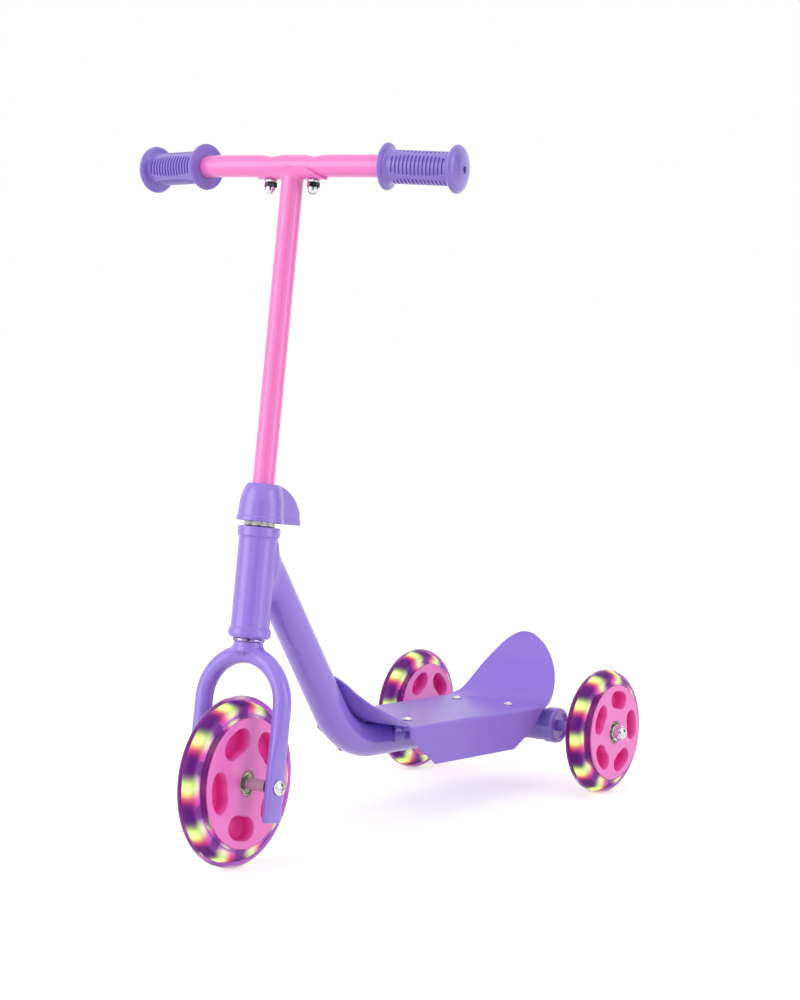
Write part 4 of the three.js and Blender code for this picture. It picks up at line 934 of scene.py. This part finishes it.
def makeBarBolts(sizes):
    seat = sizes["height"] + sizes["radius"] - sizes["dimpleDepth"] - 1.4
    top = sizes["height"] - sizes["radius"] - 2.6
    head = rounded([(4.3, seat), (4.4, seat + 0.8), (3.6, seat + 1.9), (0, seat + 2.1)], [0.2, 0.5, 1.2, 0], 4,
                   closed=False)
    bolt = turnedZ(np.vstack([[(0, top - 9.2), (2.45, top - 9.2), (2.45, seat)], head]), 40)
    hexPart = nutShell(5.6, 6, 2.7, top - 6.6, top - 1.6, 0.5)
    flange = turnedZ(rounded([(2.8, top - 1.7), (6.1, top - 1.5), (6.25, top - 0.9), (5.9, top), (2.8, top)],
                             [0.1, 0.3, 0.3, 0.2, 0.1], 3), 48)
    arc, ball = np.linspace(0.2, math.pi / 2, 9), 4.7
    curve = np.stack([ball * np.sin(arc), top - 8.2 - ball * np.cos(arc)], -1)
    dome = turnedZ(np.vstack([[(0, top - 12.9)], curve, [(ball, top - 6.4), (0, top - 6.4)]]), 48)
    for side, name in handed:
        place = lambda points: leaned(points + [side * sizes["boltOffset"], 0, 0])
        makePiece("barBolt" + name.capitalize(), "bar_bolt_" + name, "steering", chrome, "chrome", place, bolt)
        makePiece("barNut" + name.capitalize(), "bar_nut_" + name, "steering", chrome, "chrome", place,
                  hexPart, flange, dome, sharp=25)


makeBar(barSizes)
makeStem(barSizes)
makeBarBolts(barSizes)
print("stem and bar made")

gripSizes = {
    "inner": 12.4, "outer": 86.5, "bore": 10.15, "barrel": 14.6, "barrelStart": 19.5, "barrelEnd": 74.2,
    "flange": 20.88, "knob": 21.05, "grooves": 14, "grooveDepth": 1.35, "grooveHalf": 0.82,
    "fieldStart": 22.2, "fieldEnd": 73.3, "fieldHalf": 38.0, "fieldEndHalf": 23.0, "hole": 3.0, "wall": 3.5,
}


# A grip: a turned profile whose barrel is cut by grooves. Each groove has steep sides, and reaches
# round only as far as an oval field, four of them round the barrel
def gripShell(p):
    start, end, tip, barrel, knob = p["inner"], p["barrelEnd"], p["outer"], p["barrel"], p["knob"]
    flange = rounded([(p["bore"], start), (p["flange"] - 1.2, start), (p["flange"], start + 1.6),
                      (p["flange"] - 1.3, start + 3.3), (barrel + 1.6, start + 4.1), (barrel, start + 6.4),
                      (barrel, p["barrelStart"])], [0.3, 1.6, 1.2, 1.6, 3.0, 2.0, 0], 6, closed=False)
    mushroom = rounded([(barrel, end), (barrel, end + 1.6), (knob - 1.9, end + 2.4), (knob, end + 4.4),
                        (knob - 0.4, end + 6.6), (knob * 0.86, tip - 3.4), (knob * 0.5, tip - 0.95),
                        (p["hole"] + 0.5, tip - 0.1), (p["hole"], tip - 0.6), (p["hole"], tip - p["wall"]),
                        (p["bore"], tip - p["wall"])],
                       [0, 1.2, 2.2, 2.2, 3.5, 7.0, 10.0, 0.6, 0.5, 0, 0], 7, closed=False)
    fieldLength = p["fieldEnd"] - p["fieldStart"]
    pitch = fieldLength / p["grooves"]
    edge = p["grooveHalf"] + np.array([-0.4, -0.16, 0.0, 0.16])
    around = np.concatenate([-edge[::-1], [0], edge, [pitch / 2]])
    lines = (p["fieldStart"] + pitch * (np.arange(p["grooves"])[:, None] + 0.5) + around).ravel()
    lines = np.concatenate([[p["barrelStart"] + 0.8], lines, [end - 0.6]])
    profile = np.vstack([flange, np.stack([np.full_like(lines, barrel), lines], -1), mushroom])
    radius, along = profile[:, :1], profile[:, 1:]
    angle = ringAngles(180)
    local = ((along - p["fieldStart"]) / pitch) % 1 - 0.5
    inField = (along > p["fieldStart"]) & (along < p["fieldEnd"])
    groove = (1 - eased(np.abs(local) * pitch, p["grooveHalf"] - 0.2, p["grooveHalf"] + 0.17)) * inField
    middle = (2 * along - p["fieldStart"] - p["fieldEnd"]) / fieldLength
    oval = np.sqrt(np.clip(1 - middle ** 2, 0, 1))
    half = np.radians(p["fieldEndHalf"] + (p["fieldHalf"] - p["fieldEndHalf"]) * oval)
    turned = (angle + math.pi / 4) % (math.pi / 2) - math.pi / 4
    reach = 1 - eased(np.abs(turned), half - 0.06, half + 0.03)
    return shell(gridZ(radius - p["grooveDepth"] * groove * reach, angle, along)[..., [2, 0, 1]], wrapRows=True)


for side, name in handed:
    grip = gripShell(gripSizes)
    makePiece("grip" + name.capitalize(), "grip_" + name, "steering", gripPlastic, "grip_plastic",
              onArm(side, barSizes), grip if side > 0 else mirroredX(grip), sharp=45)
print("grips made")


# Axle hardware, drawn along x from the axle's middle

axleBolt = {
    "radius": 7.0, "height": 4.3, "crossHalf": 0.75, "crossArm": 3.9, "crossDepth": 1.9,
    "foot": 47.1, "shank": 3.85, "shankEnd": -52.5,
}
capNutSizes = {"corner": 7.45, "length": 9.4, "bore": 4.3}
axleSizes = {"spacer": 5.4, "shaft": 4.2, "washer": 7.95, "tube": 15.85, "tubeBore": 14.1}
# the rear bush: radius, and distance out from the tube's face
bushProfile = [(4.2, -15), (13.7, -15), (13.7, 0), (17.4, 0), (17.45, 9.5), (16.2, 12.6), (13.6, 12.6),
               (11.0, 10.9), (5.5, 10.6), (4.2, 10.6)]


# A domed head with a cross recess: the dome falls away with (r/R)^2.8, and the recess is a smooth
# mask of two crossed slots pressed in from the top
def screwHead(radius, height, crossHalf, crossArm, crossDepth, foot, shank, shankEnd):
    recess = crossArm + 0.8
    r = np.concatenate([np.linspace(0, recess, 34)[1:], np.linspace(recess, radius - 0.25, 10)[1:]])
    angle = ringAngles(128)
    y, z = r[:, None] * np.cos(angle), r[:, None] * np.sin(angle)

    def slot(a, b):
        thin = 1 - eased(np.abs(a), crossHalf - 0.2, crossHalf + 0.2)
        return thin * (1 - eased(np.abs(b), crossArm - 0.5, crossArm + 0.1))

    x = foot + height * (1 - 0.72 * (r / radius) ** 2.8)[:, None] - crossDepth * np.maximum(slot(y, z), slot(z, y))
    rim = np.array([(radius, foot + height * 0.22), (radius, foot + 0.3), (radius - 0.3, foot), (shank, foot),
                    (shank, shankEnd)])
    rows = gridZ(rim[:, :1], angle, rim[:, 1:])[..., [2, 0, 1]]
    return shell(np.concatenate([np.stack([x, y, z], -1), rows]), capFirst=True, capLast=True)


# A hexagon and the cap on it, drawn along x
def capNut(corner, length, bore):
    hexPart = moved(nutShell(corner, 6, bore, 0, length * 0.55, 0.7), lambda points: points[:, [2, 0, 1]])
    dome, phi = corner * 0.82, np.linspace(math.pi / 2, 0.15, 12)
    curve = np.stack([dome * np.sin(phi) ** 0.9, length * (0.6 + 0.4 * np.cos(phi))], -1)
    cap = turnedX(np.vstack([[(0, length * 0.4), (dome, length * 0.4)], curve, [(0, length)]]), 56)
    return hexPart, cap


# A ring of square section, its edges rounded off
def ringShell(inner, outer, low, high, edge=0.3, steps=3, sides=64, flip=False):
    return turnedX(rounded([(inner, low), (outer, low), (outer, high), (inner, high)], edge, steps), sides, flip)


def makeWasher(name, node, body, material, slot, place, sizes):
    low, high = boxOf(node)
    makePiece(name, node, body, material, slot, place, ringShell(sizes["shaft"], sizes["washer"], low[0], high[0]))


def makeFrontAxle(sizes):
    makePiece("axleBolt", "front_axle_bolt", "steering", chrome, "chrome", leaned, screwHead(**axleBolt))
    makePiece("axleNut", "front_axle_nut", "steering", chrome, "chrome",
              lambda points: leaned((points + [axleBolt["foot"], 0, 0]) * [-1, 1, 1]), *capNut(**capNutSizes),
              sharp=25)
    for side, name in handed:
        near, far = acrossOf("front_spacer_" + name)
        tube = ringShell(sizes["shaft"], sizes["spacer"], near, far, 0.4, 4, 56, side < 0)
        makePiece("frontSpacer" + name.capitalize(), "front_spacer_" + name, "steering", spacerClear,
                  "clear_plastic", leaned, tube)
        makeWasher("frontWasher" + name.capitalize(), "front_washer_" + name, "steering", darkPlastic,
                   "dark_plastic", leaned, sizes)


def makeRearAxle(sizes):
    place = lambda points: points + rearAxle
    half = boxOf("rear_axle_tube")[1][0]
    makePiece("axleTube", "rear_axle_tube", "frame", lilacPaint, "lilac_paint", place,
              ringShell(sizes["tubeBore"], sizes["tube"], -half, half, 0.4, 3, 96))
    bush = rounded(np.array(bushProfile) + [0, half + 0.3], [0.3, 1, 0.2, 0.7, 2.4, 1.0, 1.0, 1.0, 0.1, 0.2], 5)
    for side, name in handed:
        end, flip = name.capitalize(), side < 0
        makePiece("axleBush" + end, "axle_bush_" + name, "frame", hoodPlastic, "lilac_plastic", place,
                  turnedX(bush, 80, flip))
        near, far = acrossOf("rear_spacer_" + name)
        shaft, inside = sizes["shaft"], near - 1.9             # it reaches a little way into the bush
        spacer = rounded([(shaft, inside), (5.3, inside), (5.45, far), (shaft, far)], 0.4, 4)
        makePiece("rearSpacer" + end, "rear_spacer_" + name, "frame", hoodPlastic, "lilac_plastic", place,
                  turnedX(spacer, 56, flip))
        makeWasher("rearWasher" + end, "rear_washer_" + name, "frame", chrome, "chrome", place, sizes)
        start = acrossOf("rear_nut_" + name)[0]
        makePiece("rearNut" + end, "rear_nut_" + name, "frame", chrome, "chrome",
                  lambda points: place((points + [start, 0, 0]) * [side, 1, 1]), *capNut(**capNutSizes), sharp=25)


makeFrontAxle(axleSizes)
makeRearAxle(axleSizes)
print("axles made")


# Down tube

deckSizes = {
    "halfWidth": 57.0, "thickness": 1.8, "corner": 4.2,
    "skirtFront": 255.0, "noseDepth": 11.3, "noseRun": 39.7, "skirtDepth": 37.8,
    "skirtRear": 23.2, "rearRun": 31.2, "heelDepth": 28.2, "heelLength": 4.3, "heelRun": 20.7,
    "fenderStart": 18.0, "fenderReach": 52.0, "fenderHeight": 61.2,
    "tongueHeight": 51.5, "tongueStraight": 34.0,
    # the fender's side view: shares of its reach and of its height
    "fenderLine": [(0, 0), (0.25, 0.059), (0.46, 0.188), (0.69, 0.41), (0.865, 0.637), (0.96, 0.85), (1, 1.03)],
    # shares of the height, then shares of the half width
    "tongueWidths": ([-0.05, 0.01, 0.1, 0.18, 0.32, 0.45, 0.57, 0.66, 0.79, 0.88, 0.95, 0.985, 1.0],
                     [1.0, 1.0, 0.96, 0.916, 0.775, 0.6, 0.477, 0.385, 0.296, 0.205, 0.12, 0.06, 0.012]),
    "fenderWidths": ([-0.02, 0.0, 0.049, 0.147, 0.239, 0.423, 0.6, 0.8, 0.869, 0.956, 0.988, 1.0],
                     [1.0, 0.985, 0.926, 0.88, 0.839, 0.747, 0.618, 0.43, 0.34, 0.19, 0.1, 0.012]),
    "foldRun": 7.0,            # the length over which the corner folds at each end of the flange
    "farPull": 6.8,            # the far side is this much narrower in front
    "boltsFront": 216.0,       # how far forward of the rear axle the two pairs of bolts are
    "boltsRear": 47.0,
}


def deckTop(forward):
    return deckHeightAtAxle + forward * math.tan(deckPitch)


# The tube's middle line in the side view: (y, z) of its top, its corner and its end
def tubeCorners(tube, deck):
    drop = (tube["radius"] + tube["gap"] + deck["thickness"]) / math.cos(deckPitch)
    fall, slope = math.tan(math.radians(tube["angle"])), math.tan(deckPitch)
    top = np.array([-wheelBase + tube["meets"] * math.sin(lean), steerPoint[2] + tube["meets"] * math.cos(lean)])
    endZ = deckTop(0) - drop
    cornerY = (endZ - top[1] - fall * top[0]) / (slope - fall)
    return top, np.array([cornerY, endZ - cornerY * slope]), np.array([0, endZ])


# Each line of the tube starts a little inside the head's cylinder, and the rows that follow are
# settled onto the joint with the head. At the far end the tube turns in on itself for its wall.
def makeDownTube(tube, deck, head):
    top, corner, end = tubeCorners(tube, deck)
    end = end + tube["rearEnd"] * np.array([-1, math.tan(deckPitch)])
    path = refined(rounded([(0, *place) for place in (top, corner, end)], tube["bendRadius"], 40, closed=False), 12)
    first, last = unit(path[1] - path[0]), unit(path[-1] - path[-2])
    body = swept(path, circle(tube["radius"], 96), [1, 0, 0])
    base = body[0]
    body = body[distancesAlong(path) > tube["joint"]]
    # where each line leaves the head's cylinder: m + along * d is its place square to the head's axis
    axis = np.array([0, math.sin(lean), math.cos(lean)])
    fromAxle = base - [0, -wheelBase, steerPoint[2]]
    d = first - (first @ axis) * axis
    m = fromAxle - (fromAxle @ axis)[:, None] * axis
    a, b, c = d @ d, 2 * (m @ d), (m * m).sum(1) - (head["radius"] - 1) ** 2
    start = (-b + np.sqrt(np.maximum(b * b - 4 * a * c, 0))) / (2 * a)
    share = np.linspace(0, 1, 44)[:, None] ** 1.4
    along = start + (tube["joint"] - start) * share
    outer = np.concatenate([base + along[..., None] * first, body])
    inner = outer[-1:].mean(1, keepdims=True)
    inner = inner + (outer[[-1, -1]] - inner) * tube["bore"] / tube["radius"]
    inner[1] -= 20 * last
    part = moved(shell(np.concatenate([outer, inner]), capFirst=True, capLast=True),
                 lambda points: unleaned(sideView(points)))
    free = np.linalg.norm(part[0] - [0, 0, tube["meets"]], axis=1) < 60
    part = settled(part, lambda points: outsideHeadJoint(points, head, tube), 2.5, free)
    makePiece("downTube", "down_tube", "frame", lilacPaint, "lilac_paint", leaned, part)


makeDownTube(tubeSizes, deckSizes, headSizes)
print("down tube made")


# Footboard

# Catmull-Rom curve through a few points
def throughPoints(points, steps):
    points = np.array(points, float)
    padded = np.vstack([2 * points[0] - points[1], points, 2 * points[-1] - points[-2]])
    t = np.linspace(0, 1, steps, endpoint=False)[:, None]
    runs = []
    for p0, p1, p2, p3 in zip(padded[:-3], padded[1:-2], padded[2:-1], padded[3:]):
        runs.append(0.5 * (2 * p1 + (p2 - p0) * t + (2 * p0 - 5 * p1 + 4 * p2 - p3) * t ** 2
                           + (3 * p1 - p0 - 3 * p2 + p3) * t ** 3))
    return np.vstack(runs + [points[-1:]])


# The sheet's top line in the side view: up the tube's bend, along the board, up the fender
def sheetLine(tube, deck):
    top, corner, end = tubeCorners(tube, deck)
    away = tube["radius"] + tube["gap"] + deck["thickness"]
    down, back = unit(corner - top), unit(end - corner)
    up = np.array([[-down[1], down[0]], [-back[1], back[0]]])
    start = corner - down * tube["bendRadius"] * math.tan(math.acos(down @ back) / 2)
    tall = start - down * (deck["tongueStraight"] + 12)
    meet = corner + (up[0] + up[1]) / (1 + up[0] @ up[1]) * away
    bend = rounded([tall + away * up[0], meet, end + away * up[1]], tube["bendRadius"] - away, 40, closed=False)
    fender = np.array(deck["fenderLine"]) * [deck["fenderReach"], deck["fenderHeight"]] + [
        -deck["fenderStart"], deckTop(deck["fenderStart"])]
    joint = fender[0] + [-3, 3 * math.tan(deckPitch)]
    return np.vstack([refined(np.vstack([bend[:-1], [joint]]), 4), throughPoints(fender, 14)])


def deckHalfWidth(y, z, deck):
    tongueRise = (z - deckTop(deck["skirtFront"])) / deck["tongueHeight"]
    fenderRise = (z - deckTop(deck["fenderStart"])) / deck["fenderHeight"]
    tongue, fender = smoothTable(tongueRise, *deck["tongueWidths"]), smoothTable(fenderRise, *deck["fenderWidths"])
    return deck["halfWidth"] * np.where(y < -200, tongue, np.where(y > -deck["fenderStart"], fender, 1))


# The corners of the flanges' lower edge: distance forward of the rear axle, and depth below the board
def skirtCorners(deck):
    heel = deck["skirtRear"] + deck["rearRun"]
    rise, front = heel + deck["heelLength"], deck["skirtFront"]
    forward = np.array([deck["skirtRear"], heel, rise, rise + deck["heelRun"], front - deck["noseRun"], front])
    depth = [deck[key] for key in ("thickness", "heelDepth", "heelDepth", "skirtDepth", "skirtDepth", "noseDepth")]
    return forward, depth


# One pressed sheet on a grid: rows follow the side view's line, columns cross the board, round
# the folded corner and down the flange. Where there is no flange the corner is unrolled and the
# flange's columns close up at the edge.
def makeDeck(tube, deck):
    line = sheetLine(tube, deck)
    distance = distancesAlong(line)
    topTongue = deckTop(deck["skirtFront"]) + deck["tongueHeight"]
    topFender = deckTop(deck["fenderStart"]) + deck["fenderHeight"]
    firstTall = np.interp(-topTongue, -line[:60, 1], distance[:60])
    lastTall = np.interp(topFender, line[-60:, 1], distance[-60:])
    cornersForward, cornersDepth = skirtCorners(deck)
    sample = np.linspace(0, distance[-1], 4000)
    marks = np.interp(-cornersForward[::-1], np.interp(sample, distance, line[:, 0]), sample)
    frontEdge, rearEdge = marks[0], marks[-1]
    runs = [np.linspace(start, stop, count)[1:]
            for start, stop, count in zip(marks[1:-1], marks[2:], (30, 10, 3, 24))]
    s = np.concatenate([
        firstTall + (frontEdge - 0.05 - firstTall) * (1 - np.cos(np.linspace(0, math.pi / 2, 60))),
        [frontEdge, frontEdge + 0.4], np.linspace(frontEdge + 1, marks[1], 26), *runs,
        rearEdge + 0.05 + (lastTall - rearEdge - 0.05) * np.sin(np.linspace(0, math.pi / 2, 70))])
    tangent = unit(np.gradient(line, axis=0))
    y, z, ty, tz = (np.interp(s, distance, values) for values in (*line.T, *tangent.T))
    w = deckHalfWidth(y, z, deck)
    has = (s >= frontEdge - 1e-6) & (s <= rearEdge + 1e-6)
    folded = eased(np.minimum(s - frontEdge, rearEdge - s), -deck["foldRun"], 0)[:, None]
    bottom = deckTop(-y) - np.interp(-y, cornersForward, cornersDepth) / math.cos(deckPitch)

    def section(inset):
        r, share = deck["corner"] - inset, np.linspace(0, 1, 9)[1:]
        flat = np.maximum(w - deck["corner"], w * 0.6)[:, None]
        turn = share * folded * math.pi / 2
        across = (flat + r * np.sin(turn)) * folded + (flat + (w[:, None] - flat) * share) * (1 - folded)
        depth = inset + r * (1 - np.cos(turn)) * folded
        board = flat * np.linspace(0, 1, 17)
        return np.hstack([board, across]), np.hstack([np.full_like(board, inset), depth])

    def flange(edge):
        low = edge.copy()
        low[:, 1] = np.where(has, y, edge[:, 1])
        low[:, 2] = np.where(has, bottom, edge[:, 2] - 0.03)
        return edge[:, None] + (low - edge)[:, None] * np.linspace(0, 1, 9)[1:, None]

    mirror = np.ones((len(s), 1, 3))
    mirror[:, 0, 0] = deck["farPull"] / deck["halfWidth"] * eased(-y, 185, 235) - 1
    faces = []
    for inset in (0.0, deck["thickness"]):
        across, depth = section(inset)
        half = np.stack([across, y[:, None] + tz[:, None] * depth, z[:, None] - ty[:, None] * depth], -1)
        half = np.concatenate([half, flange(half[:, -1])], 1)
        faces.append(np.concatenate([(half * mirror)[:, :0:-1], half], 1))
    makePiece("footboard", "deck_plate", "frame", boardPaint, "lilac_paint", sideView, closedPlate(*faces), sharp=38)


makeDeck(tubeSizes, deckSizes)

boardBolt = {
    "radius": 4.9, "height": 2.2, "crossHalf": 0.55, "crossArm": 2.1, "crossDepth": 1.0,
    "foot": 0.3, "shank": 2.85, "shankEnd": -10.0,
}


def makeDeckBolts(deck):
    upright = moved(screwHead(**boardBolt), lambda points: points[:, [1, 2, 0]])
    for row in ("front", "rear"):
        for side, name in handed:
            node = "deck_bolt_" + row + "_" + name
            place = [middleOf(node)[0], -deck["bolts" + row.capitalize()], 0]
            makePiece("deckBolt" + row.capitalize() + name.capitalize(), node, "frame", chrome, "chrome",
                      lambda points: pitched(points + place), upright)


makeDeckBolts(deckSizes)


# A shelf to each side under the board, its cheek on the tube's side, and a weld nut under each
def makeFrontBracket(deck):
    top, thick = -2.15, 2.8
    shelf = rounded([(41.6, top), (41.6, top - thick), (16.3, top - thick), (16.3, top)], 0.5)
    cheek = rounded([(21.0, top - 1), (17.8, top - 9), (17.0, top - 18.5), (15.95, top - 18.5), (16.3, top - 1)],
                    [0.3, 3.0, 0.4, 0.2, 0.3])
    along = np.array([-8.0, -4.0, 4.0, 8.0])[:, None]
    bars = [shell(np.stack(np.broadcast_arrays(section[:, 0], along, section[:, 1]), -1), capFirst=True, capLast=True)
            for section in (shelf, cheek)]
    nut = moved(nutShell(5.9, 6, 2.9, top - thick - 4.6, top - thick + 0.5, 0.5),
                lambda points: points + [middleOf("deck_bolt_front_left")[0], 0, 0])
    parts = [twin for part in (*bars, nut) for twin in (part, mirroredX(part))]
    makePiece("bracketFront", "deck_bracket_front", "frame", lilacPaint, "lilac_paint",
              lambda points: pitched(points - [0, deck["boltsFront"], 0]), *parts)


makeFrontBracket(deckSizes)
print("footboard made")


# The CAD nodes that stay in sight or inside get their materials
carried = {"deck_bracket_rear": lilacPaint}
for name in ("rear_axle_rod", "lower_head_bearing", "upper_head_bearing", "stem_clamp", "clamp_bolt"):
    carried[name] = steel
for name in wheels:
    carried[name + "_magnet_sleeve"] = darkPlastic
for name, material in carried.items():
    nodes[name].data.materials.clear()
    nodes[name].data.materials.append(material)
print("carried nodes finished:", len(carried))


# Studio

studio = {
    "cameraPlace": (1.4962, -2.1683, 0.5961), "cameraAngles": (83.607, 0.0, 34.125), "lens": 103.65,
    "worldStrength": 0.62, "floorColour": (0.8, 0.765, 0.775, 1), "floorLift": 0.55, "floorHalf": 6.0,
    # place, target, size, and the lamps' power
    "lamps": {
        "topSoftbox": ((0.2, 0.0, 2.4), (0, 0, 0.2), (1.8, 1.8), 6),
        "leftSoftbox": ((-1.3, -2.2, 1.3), (0, 0, 0.35), (1.8, 2.2), 29),
        "rightSoftbox": ((2.4, 0.1, 1.0), (0, 0, 0.3), (1.2, 2.0), 15),
    },
    "flags": {
        "cameraFlag": ((1.9, -2.75, 0.8), (0, 0, 0.3), (1.5, 2.6)),
        "backFlag": ((2.2, 2.2, 0.7), (0, 0, 0.3), (1.0, 2.2)),
    },
}


# A new object in the scene, put down at its place
def putDown(name, data, place=(0, 0, 0), angles=(0, 0, 0)):
    item = bpy.data.objects.new(name, data)
    bpy.context.scene.collection.objects.link(item)
    item.location, item.rotation_euler = place, angles
    return item


# The angles that turn a lamp or a card from its place towards a target
def aimed(place, target):
    x, y, z = unit(np.subtract(target, place))
    return math.acos(-z), 0, math.atan2(-x, y)


def flatMesh(name, x, y):
    mesh = bpy.data.meshes.new(name)
    mesh.from_pydata([(-x, -y, 0), (x, -y, 0), (x, y, 0), (-x, y, 0)], [], [(0, 1, 2, 3)])
    return mesh


def addLamp(name, place, target, size, power):
    light = bpy.data.lights.new(name, "AREA")
    light.shape, light.size, light.size_y, light.energy = "RECTANGLE", *size, power
    putDown(name, light, place, aimed(place, target))


# A black card that only reflections see, for dark bands in the bright metal
def addFlag(name, place, target, size):
    card = putDown(name, flatMesh(name, size[0] / 2, size[1] / 2), place, aimed(place, target))
    card.data.materials.append(newMaterial(name, Base_Color=(0.01, 0.01, 0.01, 1), Roughness=1.0)[0])
    card.visible_camera = card.visible_diffuse = card.visible_transmission = card.visible_shadow = False


# 1 for what the camera sees straight on, in a reflection or through clear plastic, 0 for light
def seenRays(tree):
    path = addNode(tree, "ShaderNodeLightPath").outputs
    seen = maths(tree, "MAXIMUM", path["Is Camera Ray"], path["Is Glossy Ray"])
    return maths(tree, "MAXIMUM", seen, path["Is Transmission Ray"])


def makeWorld(choice):
    world = bpy.data.worlds.new("studioWorld")
    bpy.context.scene.world = world
    world.use_nodes = True
    background = world.node_tree.nodes["Background"].inputs
    background["Color"].default_value = (1, 1, 1, 1)
    strength = ranged(world.node_tree, seenRays(world.node_tree), low=choice["worldStrength"])
    world.node_tree.links.new(strength, background["Strength"])


def makeFloor(choice):
    floor = putDown("floor", flatMesh("floor", choice["floorHalf"], choice["floorHalf"]))
    material, tree, shader = newMaterial("floorWhite", Base_Color=choice["floorColour"], Roughness=0.9,
                                         Specular_IOR_Level=0.1, Emission_Color=(1, 1, 1, 1))
    lift = maths(tree, "MULTIPLY", seenRays(tree), choice["floorLift"])
    tree.links.new(lift, shader.inputs["Emission Strength"])
    floor.data.materials.append(material)


def makeStudio(choice):
    camera = bpy.data.cameras.new("camera")
    camera.lens, camera.sensor_fit, camera.sensor_height = choice["lens"], "VERTICAL", 36
    camera.clip_start, camera.clip_end = 0.05, 50
    angles = [math.radians(angle) for angle in choice["cameraAngles"]]
    bpy.context.scene.camera = putDown("camera", camera, choice["cameraPlace"], angles)
    makeWorld(choice)
    for name, values in choice["lamps"].items():
        addLamp(name, *values)
    for name, values in choice["flags"].items():
        addFlag(name, *values)
    makeFloor(choice)
    bpy.context.scene.view_settings.view_transform = "Standard"


makeStudio(studio)
print("studio made")
